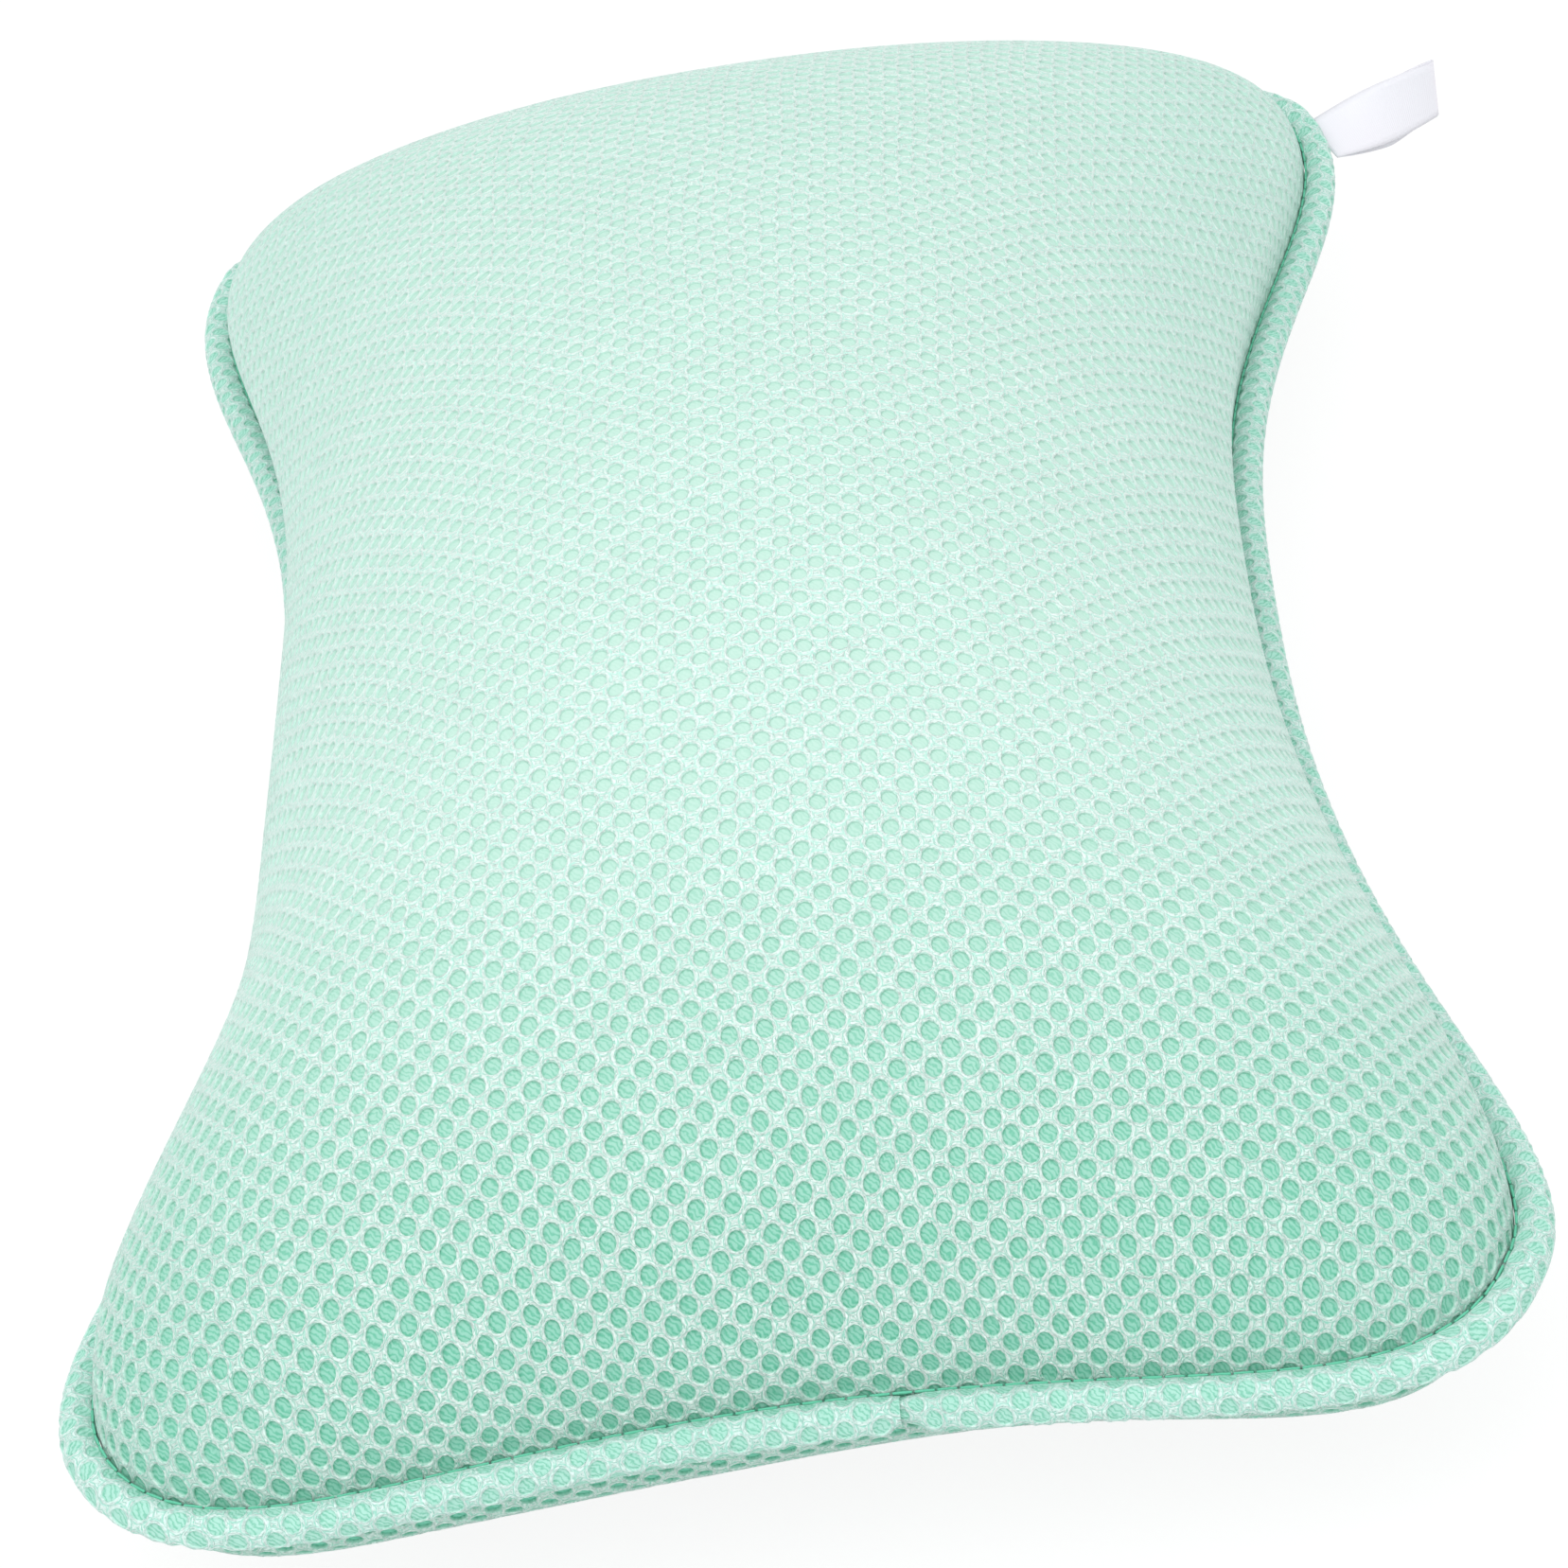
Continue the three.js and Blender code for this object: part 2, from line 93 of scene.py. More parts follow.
# Rolled piping, whose one end is tucked into the other at its joint, and the stitches beside it
PIPING_RADIUS = 0.0031
PIPING_CENTRE = 0.00305
PIPING_WALL = 0.00093
PIPING_JOINT = 0.014
PIPING_OVERLAP = 0.003
PIPING_TUCK = 0.005
PIPING_MOUTH = 0.0032
TUCKED_SHARE = 0.62
MOUTH_SHARE = 0.74
STITCH_LENGTH = 0.0034
STITCH_GAP = 0.0004
STITCH_RADIUS = 0.00024
STITCH_OUT = 0.00036
STITCH_UP = 0.0019

# Air mesh: holes in staggered columns that run along the pillow. A well's rings are shares of
# the hole's size and of the well's depth, from its floor out over its rim.
PITCH_ACROSS = 0.00546
PITCH_ALONG = 0.0057
HOLE_HALF_WIDTH = 0.00127
HOLE_HALF_LENGTH = 0.00142
WELL_DEPTH = 0.0007
WELL_RINGS = ((0.97, -1.0), (0.99, -0.6), (1.0, -0.30), (1.17, 0.05))
PRESSED_REACH = 0.003      # over which the sewing presses the wells flat beside the seam
TIGHT_FROM = 0.4           # towards the near end the cloth is pulled tight and its wells open up; painted shade deepens there too
TIGHT_REACH = 0.6
TIGHT_GROWTH = (0.08, 0.18)
FLANK_GROWTH = (0.10, -0.26)       # of the wells on the right flank, where the cloth is drawn sideways
FLANK_FROM = 0.4
FLANK_FADE = 0.45
FLANK_CENTRE = -0.45
FLANK_SPREAD = 0.42
FLANK_PAINTED_SHADE = 0.2           # painted shade: the yarn is painted darker on the flanks
PIPING_PULL = 0.7
SLACK_DEPTH = 0.6
STRAND_DIP = -0.05
GROOVE_DIP = -0.36
COVER_SIDES = 12
BACK_SIDES = 8

# Fibre filling: its distance from the covers' outside, and how high it is pushed up over the
# heads of the suction cups
FILLING_INSET = 0.0037
FILLING_REACH = 0.97
HEAD_LEVEL = 0.0268
HEAD_REACH = 0.009
WASHER_LEVEL = 0.0224
WASHER_REACH = 0.0135
PUSHED_REACH = 0.0185

# Suction cups and the eyelets that they turn in
CUP_PROFILE_STEPS = 12
CUP_RIM_RADIUS = 0.0225
CUP_SEAL_RADIUS = 0.0201
CUP_RIM_EDGE = 0.0009
CUP_CAVITY = 0.0054
CUP_DISH = 0.0086
CUP_HUB_RADIUS = 0.0068
CUP_HEIGHT = 0.013
CUP_NECK_RADIUS = 0.0031
CUP_HEAD_RADIUS = 0.0053
CUP_HEAD_LEVEL = 0.0212
CUP_HEAD_SIDE = 0.0227
CUP_HEAD_TOP = 0.0256
TAB_WIDTH = 0.009
TAB_REACH = 0.006
TAB_OVERLAP = 0.003
TAB_LIFT = 0.0003
TAB_THICKNESS = 0.0011
EYELET_BORE = 0.0036
EYELET_BARREL = 0.0048
EYELET_FLANGE = 0.0095
FLANGE_LEVEL = 0.0133
PATCH_LEVEL = 0.0148
PATCH_TOP = 0.01552
PATCH_RADIUS = 0.015
BARREL_HOLE = 0.0051
WASHER_BASE = 0.0188
WASHER_TOP = 0.0200
BARREL_TOP = 0.0209

# Satin ribbon: its width, and the corners of its front layer from its sewn root to its fold
RIBBON_WIDTH = 0.012
RIBBON_THICKNESS = 0.00022
RIBBON_FOLD_RADIUS = 0.0008
ROOT_NEAR = (0.1036, 0.16805, 0.0298)
ROOT_FAR = (0.0986, 0.17855, 0.0327)
FOLD_NEAR = (0.1249, 0.1839, 0.0265)
FOLD_FAR = (0.1250, 0.1851, 0.0383)
BACK_LAYER_SAG = (0.0001, -0.0006, -0.0033)
BACK_LAYER_GAP = (0.0004, 0.0014, 0.0)

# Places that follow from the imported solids
CUP_PLACES = [
    tuple((Vector(low) + Vector(high)).xy / 2)
    for low, high in (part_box(f"eyelet_{k}") for k in (1, 2, 3, 4))
]
MIDDLE_X = (CUP_PLACES[0][0] + CUP_PLACES[1][0]) / 2
BACK_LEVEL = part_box("back_cover")[0].z
SEAM_LEVEL = BACK_LEVEL + BACK_DEPTH

PULL_ACROSS = CORNER_PULL_ACROSS / (SQUARE_WIDTH / 2)
PULL_ALONG = CORNER_PULL_ALONG / (SQUARE_LENGTH / 2)
FLAT_ACROSS = 1 - SHOULDER_ACROSS / (SQUARE_WIDTH / 2)
FLAT_ALONG = 1 - SHOULDER_ALONG / (SQUARE_LENGTH / 2)


def smooth(share):
    share = np.clip(share, 0, 1)
    return share * share * (3 - 2 * share)


UP = np.array((0.0, 0.0, 1.0))


def plan_place(s, t):
    """Plan position of (s, t), each from -1 to 1: rounded corners, waist and bowed ends, and the
    near left flank drawn in by the stuffing's unevenness."""
    u = s * (1 - PULL_ACROSS * np.abs(t) ** (1 / PULL_ACROSS - 1))
    v = t * (1 - PULL_ALONG * np.abs(s) ** (1 / PULL_ALONG - 1))
    waist = (1 - np.abs(v) ** WAIST_REACH_POWER) ** WAIST_ROUND_POWER
    half_width = (SQUARE_WIDTH - (SQUARE_WIDTH - WAIST_WIDTH) * waist) / 2
    half_length = SQUARE_LENGTH / 2 - END_BOW * (1 - np.abs(u) ** END_BOW_POWER)
    flank = FLANK_DRAWN_IN * np.exp(-(((v - FLANK_MIDDLE) / FLANK_REACH) ** 2)) * np.minimum(0, u) ** 2
    return MIDDLE_X + u * half_width + flank, v * half_length


def seam_height(s, t):
    """The seam rises at the corners, in the middle of each end and most at the waist."""
    end = END_LIFT * (1 - s * s) * np.abs(t) ** LIFT_POWER
    corner = CORNER_LIFT * np.abs(s * t) ** LIFT_POWER
    side = SIDE_LIFT * s * s * (1 - t * t) ** 2
    return SEAM_LEVEL + end + corner + side


def front_place(s, t):
    """A point of the crowned front, whose sides and ends swell out over the seam, but not at the
    corners."""
    x, y = plan_place(s, t)
    across = (1 - np.abs(s) ** CROWN_POWER_ACROSS) ** CROWN_ROUND_ACROSS
    along = (1 - np.abs(t) ** CROWN_POWER_ALONG) ** CROWN_ROUND_ALONG
    rise = CROWN_RISE * across * along
    share = np.minimum(1, rise / SWELL_HEIGHT)
    swell = share ** 2 * (3 - 2 * share) * (1 - across * along)
    x = x + np.where(s < 0, LEFT_SWELL, RIGHT_SWELL) * swell * s * np.abs(s) * (1 - t ** 4)
    y = y + END_SWELL * swell * t * np.abs(t) * (1 - s ** 4)
    return np.stack([x, y, seam_height(s, t) + RIM_SPLIT + rise], axis=-1)


def shoulder(share, flat):
    """1 on the flat of the back, falling in a quarter round to 0 at the seam."""
    beyond = np.clip((np.abs(share) - flat) / (1 - flat), 0, 1)
    return np.sqrt(1 - beyond ** 2)


def back_place(s, t):
    """A point of the back with its flat, drawn up a little at the near end beside the joint, and
    higher towards the corners, where the pillow holds less filling."""
    x, y = plan_place(s, t)
    rim = seam_height(s, t) - RIM_SPLIT
    near_end = np.maximum(0, 1 - (1 + t) / PUCKER_END_SHARE)
    pucker = PUCKER_LIFT * np.exp(-(((s - PUCKER_MIDDLE) / PUCKER_REACH) ** 2)) * near_end ** 2
    towards_corner = np.maximum(0, np.abs(s * t) - CORNER_FROM) / (1 - CORNER_FROM)
    drop = BACK_LEVEL + pucker + CORNER_RISE * towards_corner ** 2 - rim
    z = rim + drop * shoulder(s, FLAT_ACROSS) * shoulder(t, FLAT_ALONG)
    return np.stack([x, y, z], axis=-1)


def between(table, x, y):
    """Values of a table at shares x and y of its rows and columns, from 0 to 1."""
    rows, columns = table.shape[0] - 1, table.shape[1] - 1
    fx = np.clip(x, 0, 1) * rows
    fy = np.clip(y, 0, 1) * columns
    i = np.minimum(fx.astype(int), rows - 1)
    j = np.minimum(fy.astype(int), columns - 1)
    shape = fx.shape + (1,) * (table.ndim - 2)
    wx, wy = (fx - i).reshape(shape), (fy - j).reshape(shape)
    near = table[i, j] * (1 - wx) + table[i + 1, j] * wx
    far = table[i, j + 1] * (1 - wx) + table[i + 1, j + 1] * wx
    return near * (1 - wy) + far * wy


def unit(vectors):
    return vectors / np.maximum(np.linalg.norm(vectors, axis=-1, keepdims=True), 1e-12)


def table_normals(points):
    """Normals of a table of points, out of the side that is anticlockwise."""
    by_row = np.gradient(points, axis=0)
    by_column = np.gradient(points, axis=1)
    return unit(np.cross(by_row, by_column))


def grid_triangles(rows, columns):
    """The triangles of a table's cells, two to a cell, as numbers of its points."""
    at = np.arange(rows * columns).reshape(rows, columns)
    a, b, c, d = at[:-1, :-1], at[1:, :-1], at[1:, 1:], at[:-1, 1:]
    halves = [np.stack(corners, axis=-1).reshape(-1, 3) for corners in ((a, b, c), (a, c, d))]
    return np.concatenate(halves)


def area_between(a, b):
    return a[:, 0] * b[:, 1] - a[:, 1] * b[:, 0]


class Panel:
    """A cloth panel over its shares across and along, from -1 to 1: a table of its points, and a
    coarser one of the cloth coordinates there when the cloth lies flat."""

    def __init__(self, points, flat):
        self.points = points
        self.normals = table_normals(points)
        self.size = np.abs(flat).max(axis=(0, 1))
        self.nodes = flat.reshape(-1, 2)
        rows, columns = flat.shape[:2]
        steps = np.meshgrid(np.linspace(-1, 1, rows), np.linspace(-1, 1, columns), indexing="ij")
        self.node_shares = np.stack(steps, axis=-1).reshape(-1, 2)
        self.triangles = grid_triangles(rows, columns)

    def place(self, across, along, height):
        """Points at a height over the panel."""
        x, y = (across + 1) / 2, (along + 1) / 2
        normals = unit(between(self.normals, x, y))
        return between(self.points, x, y) + normals * height[..., None]

    def shares(self, a, b):
        """The shares across and along of the cloth at flat coordinates a and b. Cloth beyond the
        seam gets shares beyond 1."""
        flat_nodes = [(*node, 0) for node in self.nodes.tolist()]
        tree = BVHTree.FromPolygons(flat_nodes, self.triangles.tolist())
        found = [tree.find_nearest((x, y, 0)) for x, y in zip(a.tolist(), b.tolist())]
        spot = np.array([(place.x, place.y) for place, _, _, _ in found])
        corners = self.triangles[[number for _, _, number, _ in found]]
        beyond = np.array([distance for _, _, _, distance in found])
        origin, one, two = (self.nodes[corners[:, k]] for k in range(3))
        area = area_between(one - origin, two - origin)
        area = np.where(np.abs(area) < 1e-14, 1e-14, area)
        to_one = np.clip(area_between(spot - origin, two - origin) / area, 0, 1)[:, None]
        to_two = np.clip(area_between(one - origin, spot - origin) / area, 0, 1)[:, None]
        start, first, second = (self.node_shares[corners[:, k]] for k in range(3))
        shares = start + to_one * (first - start) + to_two * (second - start)
        on_side = np.abs(shares[:, 0]) > np.abs(shares[:, 1])
        outward = np.where(on_side[:, None], (1.0, 0.0), (0.0, 1.0)) * np.sign(shares) / self.size
        return (shares + outward * beyond[:, None]).T


TABLE_ACROSS = 261
TABLE_ALONG = 421
EASING_STRIDE = 10         # table cells to one cell of the cloth that is eased in
EASING_ROUNDS = 60
FIRMEST_PULL = 12          # of one edge of a cell, where 1 is that of an even cell


def run_lengths(points, axis):
    """Length from the first point to each along an axis of a table."""
    steps = np.linalg.norm(np.diff(points, axis=axis), axis=-1)
    pad = [(1, 0) if k == axis else (0, 0) for k in range(2)]
    return np.pad(np.cumsum(steps, axis=axis), pad)


def eased_cloth(flat, points):
    """Flat coordinates of a quarter of a cover, eased until each little triangle of cloth keeps
    its shape as nearly as the others let it. The two middle lines keep their coordinates. A flat
    place is one complex number, so that a turn is a product."""
    rows, columns = flat.shape[:2]
    triangles = grid_triangles(rows, columns)
    origin, one, two = (points.reshape(-1, 3)[triangles[:, k]] for k in range(3))
    length = np.linalg.norm(one - origin, axis=-1)
    ahead = ((one - origin) * (two - origin)).sum(axis=-1) / length
    aside = np.linalg.norm(np.cross(one - origin, two - origin), axis=-1) / length
    shape = np.stack([0 * length, length + 0j, ahead + 1j * aside], axis=-1)
    pulls = []
    for i, j, k in ((0, 1, 2), (1, 2, 0), (2, 0, 1)):
        opened = np.conj(shape[:, i] - shape[:, k]) * (shape[:, j] - shape[:, k])
        pull = np.clip(opened.real / np.maximum(opened.imag, 1e-12), 1 / FIRMEST_PULL, FIRMEST_PULL)
        pulls.append((triangles[:, i], triangles[:, j], pull, shape[:, i] - shape[:, j]))
    count = rows * columns
    matrix = np.zeros((count, count))
    for i, j, pull, _ in pulls:
        for a, b, sign in ((i, i, 1), (j, j, 1), (i, j, -1), (j, i, -1)):
            np.add.at(matrix, (a, b), sign * pull)
    number = np.arange(count).reshape(rows, columns)
    free, held = number[1:, 1:].ravel(), np.concatenate([number[0], number[1:, 0]])
    loosened = np.linalg.inv(matrix[np.ix_(free, free)])
    place = flat[..., 0].ravel() + 1j * flat[..., 1].ravel()
    from_held = matrix[np.ix_(free, held)] @ place[held]
    for _ in range(EASING_ROUNDS):
        turn = sum(pull * (place[i] - place[j]) * np.conj(edge) for i, j, pull, edge in pulls)
        turn /= np.abs(turn)
        target = np.zeros(count, complex)
        for i, j, pull, edge in pulls:
            np.add.at(target, i, pull * turn * edge)
            np.add.at(target, j, -pull * turn * edge)
        place[free] = loosened @ (target[free] - from_held)
    return np.stack([place.real, place.imag], axis=-1).reshape(flat.shape)


def cover_panel(surface):
    """The panel of a cover, spaced evenly over its lengths, with its cloth eased in."""
    p, q = np.linspace(0, 1, TABLE_ACROSS), np.linspace(0, 1, TABLE_ALONG)
    quarter = surface(np.sin(np.pi / 2 * p)[:, None], np.sin(np.pi / 2 * q)[None, :])
    across = run_lengths(quarter, 0)
    along = run_lengths(quarter * (0, 1, 1), 1)
    edge_across, edge_along = across[-1], along[:, -1]
    across_share = across / edge_across
    along_share = along / edge_along[:, None]
    p_of = np.stack([np.interp(p, across_share[:, j], p) for j in range(TABLE_ALONG)], axis=1)
    q_of = np.stack([np.interp(q, along_share[i], q) for i in range(TABLE_ACROSS)], axis=0)
    signed_across = np.linspace(-1, 1, 2 * TABLE_ACROSS - 1)
    signed_along = np.linspace(-1, 1, 2 * TABLE_ALONG - 1)
    a, b = np.meshgrid(signed_across, signed_along, indexing="ij")
    x, y = np.abs(a), np.abs(b)
    for _ in range(40):
        x, y = between(p_of, np.abs(a), y), between(q_of, x, np.abs(b))
    points = surface(np.sign(a) * np.sin(np.pi / 2 * x), np.sign(b) * np.sin(np.pi / 2 * y))
    coarse = (slice(TABLE_ACROSS - 1, None, EASING_STRIDE), slice(TABLE_ALONG - 1, None, EASING_STRIDE))
    first_across = a[coarse] * np.interp(y[coarse], q, edge_across)
    first_along = b[coarse] * np.interp(x[coarse], p, edge_along)
    flat = eased_cloth(np.stack([first_across, first_along], axis=-1), points[coarse])
    flat = np.concatenate([flat[:0:-1] * (-1, 1), flat])
    flat = np.concatenate([flat[:, :0:-1] * (1, -1), flat], axis=1)
    return Panel(points, flat)


def mesh_object(name, mesh):
    made = bpy.data.objects.new(name, mesh)
    bpy.context.scene.collection.objects.link(made)
    return made


def finish_bmesh(bm, name):
    """A new object from a bmesh."""
    mesh = bpy.data.meshes.new(name)
    bm.to_mesh(mesh)
    bm.free()
    return mesh_object(name, mesh)


def read_places(mesh):
    places = np.zeros(len(mesh.vertices) * 3)
    mesh.vertices.foreach_get("co", places)
    return places.reshape(-1, 3)


def write_places(mesh, places):
    mesh.vertices.foreach_set("co", np.ascontiguousarray(places, np.float32).ravel())
    mesh.update()


YARN, LINING = 0, 1


def net_cell(sides):
    """One cell of the air mesh lying flat: a round well in a diamond of yarn, whose corners are
    the grooves between two wales."""
    bm = bmesh.new()
    bmesh.ops.create_circle(bm, cap_ends=True, segments=sides, radius=1.0)
    start = Matrix.Rotation(-math.pi / 2, 3, "Z")
    bmesh.ops.rotate(bm, verts=bm.verts, cent=(0, 0, 0), matrix=start)
    for face in bm.faces:
        face.material_index = LINING
    directions = {v: math.atan2(v.co.y, v.co.x) % (2 * math.pi) for v in bm.verts}
    edges = list(bm.edges)
    reach, height = WELL_RINGS[0]
    for v, angle in directions.items():
        v.co = ring_point(angle, reach, height)
    for k, ring in enumerate(WELL_RINGS[1:] + (None,)):
        made = bmesh.ops.extrude_edge_only(bm, edges=edges)["geom"]
        edges = [g for g in made if isinstance(g, bmesh.types.BMEdge) and g.is_boundary]
        for v in [g for g in made if isinstance(g, bmesh.types.BMVert)]:
            angle = math.atan2(v.co.y / HOLE_HALF_LENGTH, v.co.x / HOLE_HALF_WIDTH) % (2 * math.pi)
            v.co = ring_point(angle, *ring) if ring else cell_edge_point(angle, sides)
            for face in v.link_faces:
                face.material_index = LINING if k < 2 else YARN
    return bm


def ring_point(angle, reach, height):
    """A point of a well's ring."""
    x, y = HOLE_HALF_WIDTH * math.cos(angle), HOLE_HALF_LENGTH * math.sin(angle)
    return Vector((x * reach, y * reach, height * WELL_DEPTH))


def cell_edge_point(angle, sides):
    """The point of a cell's diamond edge that belongs to an angle."""
    step = round(angle / (2 * math.pi) * sides) % sides
    per_side = sides // 4
    across, along = PITCH_ACROSS / 2, PITCH_ALONG / 2
    corners = [Vector(c) for c in ((across, 0, 0), (0, along, 0), (-across, 0, 0), (0, -along, 0))]
    side, share = step // per_side, (step % per_side) / per_side
    point = corners[side].lerp(corners[(side + 1) % 4], share)
    point.z = WELL_DEPTH * (STRAND_DIP if share else GROOVE_DIP)
    return point


def flat_net(half_across, half_along, sides):
    """A flat net of staggered cells, large enough for a panel, centred on the origin."""
    bm = net_cell(sides)
    first = list(bm.verts) + list(bm.edges) + list(bm.faces)
    copy = bmesh.ops.duplicate(bm, geom=first)["geom"]
    copied = [g for g in copy if isinstance(g, bmesh.types.BMVert)]
    shift = Vector((PITCH_ACROSS / 2, PITCH_ALONG / 2, 0))
    bmesh.ops.translate(bm, verts=copied, vec=shift)
    columns = 2 * math.ceil(half_across / PITCH_ACROSS + 1)
    rows = 2 * math.ceil(half_along / PITCH_ALONG + 1)
    start = Vector((-columns / 2 * PITCH_ACROSS, -rows / 2 * PITCH_ALONG, 0))
    bmesh.ops.translate(bm, verts=bm.verts, vec=start)
    cells = finish_bmesh(bm, "cells")
    for count, step in ((columns, (PITCH_ACROSS, 0, 0)), (rows, (0, PITCH_ALONG, 0))):
        array = cells.modifiers.new("repeat", "ARRAY")
        array.count = count
        array.use_relative_offset = False
        array.use_constant_offset = True
        array.constant_offset_displace = step
    evaluated = cells.evaluated_get(bpy.context.evaluated_depsgraph_get())
    mesh = bpy.data.meshes.new_from_object(evaluated)
    bpy.data.objects.remove(cells)
    bm = bmesh.new()
    bm.from_mesh(mesh)
    bmesh.ops.remove_doubles(bm, verts=bm.verts, dist=PITCH_ACROSS / 200)
    bm.to_mesh(mesh)
    bm.free()
    return mesh


def waves(a, b, seed, lengths, amplitude):
    """A smooth, repeatable unevenness over cloth coordinates, as a sum of a few waves."""
    rng = np.random.default_rng(seed)
    total = np.zeros_like(a)
    for length in lengths:
        angle, phase = rng.uniform(0, 2 * np.pi, 2)
        total += np.sin(2 * np.pi * (a * math.cos(angle) + b * math.sin(angle)) / length + phase)
    return amplitude * total / math.sqrt(len(lengths))


def pulled_open(flat, tightness, drawn):
    """The flat net with its wells grown about their centres where the cloth is tight or drawn
    sideways, and the edges of its cells in place."""
    pitches = np.array((PITCH_ACROSS, PITCH_ALONG))
    place = flat[:, :2] / pitches
    offsets = [place - start - np.round(place - start) for start in (0.0, 0.5)]
    from_edge = [0.5 - np.abs(offset).sum(axis=1) for offset in offsets]
    nearer = (from_edge[0] > from_edge[1])[:, None]
    offset = np.where(nearer, *offsets)
    inside = (np.maximum(*from_edge) > 0.001)[:, None]
    growth = np.outer(tightness, TIGHT_GROWTH) + np.outer(drawn, FLANK_GROWTH)
    flat[:, :2] += offset * pitches * growth * inside


def net_piece(name, panel, skin_depth, skin_cells, sides, phase=(0.0, 0.0), depth_share=1.0, pull=None):
    """A closed piece of air mesh over a panel: the net with its wells outside, a plain skin
    inside, and the cut edge between them. The cloth has one even pull, or is pulled tighter
    towards the near end."""
    mesh = flat_net(*panel.size, sides)
    flat = read_places(mesh)
    nearness = (-flat[:, 1] / panel.size[1] - TIGHT_FROM) / TIGHT_REACH
    tightness = smooth(nearness) if pull is None else np.full(len(flat), pull)
    cloth = mesh.attributes.new("cloth", "FLOAT_VECTOR", "POINT")
    in_pitches = flat / (PITCH_ACROSS, PITCH_ALONG, WELL_DEPTH)
    cloth.data.foreach_set("vector", in_pitches.astype(np.float32).ravel())
    # The tightness is stored both for the wells' depth and as the mask of painted shade towards the near end.
    tight_and_painted_shade = mesh.attributes.new("tight_and_painted_shade", "FLOAT", "POINT")
    tight_and_painted_shade.data.foreach_set("value", tightness.astype(np.float32))
    across_share = flat[:, 0] / panel.size[0]
    # Painted shade: the flank share darkens the yarn on both flanks.
    flank = mesh.attributes.new("flank", "FLOAT", "POINT")
    flank_painted_shade = 0 * tightness if pull else smooth((np.abs(across_share) - FLANK_FROM) / FLANK_FADE)
    flank.data.foreach_set("value", flank_painted_shade.astype(np.float32))
    sideways = smooth((across_share - FLANK_FROM) / FLANK_FADE)
    sideways = sideways * np.exp(-(((flat[:, 1] / panel.size[1] - FLANK_CENTRE) / FLANK_SPREAD) ** 2))
    pulled_open(flat, tightness, sideways if pull is None else 0 * tightness)
    a = flat[:, 0] + phase[0] * PITCH_ACROSS
    b = flat[:, 1] + phase[1] * PITCH_ALONG
    a += waves(flat[:, 0], flat[:, 1], 3, (0.047, 0.061, 0.083), 0.00045)
    b += waves(flat[:, 0], flat[:, 1], 5, (0.043, 0.067, 0.091), 0.00045)
    a += waves(flat[:, 0], flat[:, 1], 7, (0.0081, 0.0093, 0.0112), 0.00009)
    b += waves(flat[:, 0], flat[:, 1], 9, (0.0077, 0.0098, 0.0121), 0.00009)
    across, along = panel.shares(a, b)
    write_places(mesh, np.stack([across, along, flat[:, 2] * depth_share], axis=-1))

    bm = bmesh.new()
    bm.from_mesh(mesh)
    bpy.data.meshes.remove(mesh)
    for normal in ((1, 0, 0), (-1, 0, 0), (0, 1, 0), (0, -1, 0)):
        geometry = list(bm.verts) + list(bm.edges) + list(bm.faces)
        bmesh.ops.bisect_plane(
            bm, geom=geometry, dist=1e-7, plane_co=normal, plane_no=normal, clear_outer=True
        )
    outer_edges = [e for e in bm.edges if e.is_boundary]
    before = set(bm.verts)
    bmesh.ops.create_grid(bm, x_segments=skin_cells[0], y_segments=skin_cells[1], size=1.0)
    skin = [v for v in bm.verts if v not in before]
    skin_faces = {f for v in skin for f in v.link_faces}
    for v in skin:
        v.co.z = -skin_depth
    for f in skin_faces:
        f.material_index = LINING
    bmesh.ops.reverse_faces(bm, faces=list(skin_faces))
    inner_edges = [e for e in {e for v in skin for e in v.link_edges} if e.is_boundary]
    edge = bmesh.ops.bridge_loops(bm, edges=outer_edges + inner_edges)
    for f in edge["faces"]:
        f.material_index = LINING
    for f in bm.faces:
        f.smooth = f.material_index == YARN
    piece = finish_bmesh(bm, name)
    placed = read_places(piece.data)
    from_seam = ((1 - np.abs(placed[:, :2])) * panel.size).min(axis=1)
    on_top = placed[:, 2] > -skin_depth / 2
    tightness = np.zeros(len(placed), np.float32)
    piece.data.attributes["tight_and_painted_shade"].data.foreach_get("value", tightness)
    deep = smooth(from_seam / PRESSED_REACH) * (SLACK_DEPTH + (1 - SLACK_DEPTH) * tightness)
    placed[:, 2] *= np.where(on_top, deep, 1)
    write_places(piece.data, panel.place(placed[:, 0], placed[:, 1], placed[:, 2]))
    return piece


def outline(count, overlap=0.0):
    """The seam as a run of points from the piping's joint, round to the joint and on by an
    overlap, with its outward directions, its distances and the seam's length."""
    side = np.linspace(-1, 1, 400)[:-1]
    one = np.ones_like(side)
    s = np.concatenate([side, one, -side, -one])
    t = np.concatenate([-one, side, one, -side])
    x, y = plan_place(s, t)
    points = np.stack([x, y, seam_height(s, t)], axis=-1)
    first = np.argmax((t == -1) & (s > PIPING_JOINT / (SQUARE_WIDTH / 2)))
    points = np.roll(points, -first, axis=0)
    closed = np.vstack([points, points[:1]])
    run = np.concatenate([[0], np.cumsum(np.linalg.norm(np.diff(closed, axis=0), axis=1))])
    length = run[-1]
    places = np.linspace(0, length + overlap, count)
    step = places[1]

    def on_seam(distance):
        return np.stack([np.interp(distance % length, run, closed[:, k]) for k in range(3)], axis=-1)

    line = on_seam(places)
    ahead = unit((on_seam(places + step) - on_seam(places - step)) * (1, 1, 0))
    outward = np.stack([ahead[:, 1], -ahead[:, 0], np.zeros(count)], axis=-1)
    return line, outward, places, length


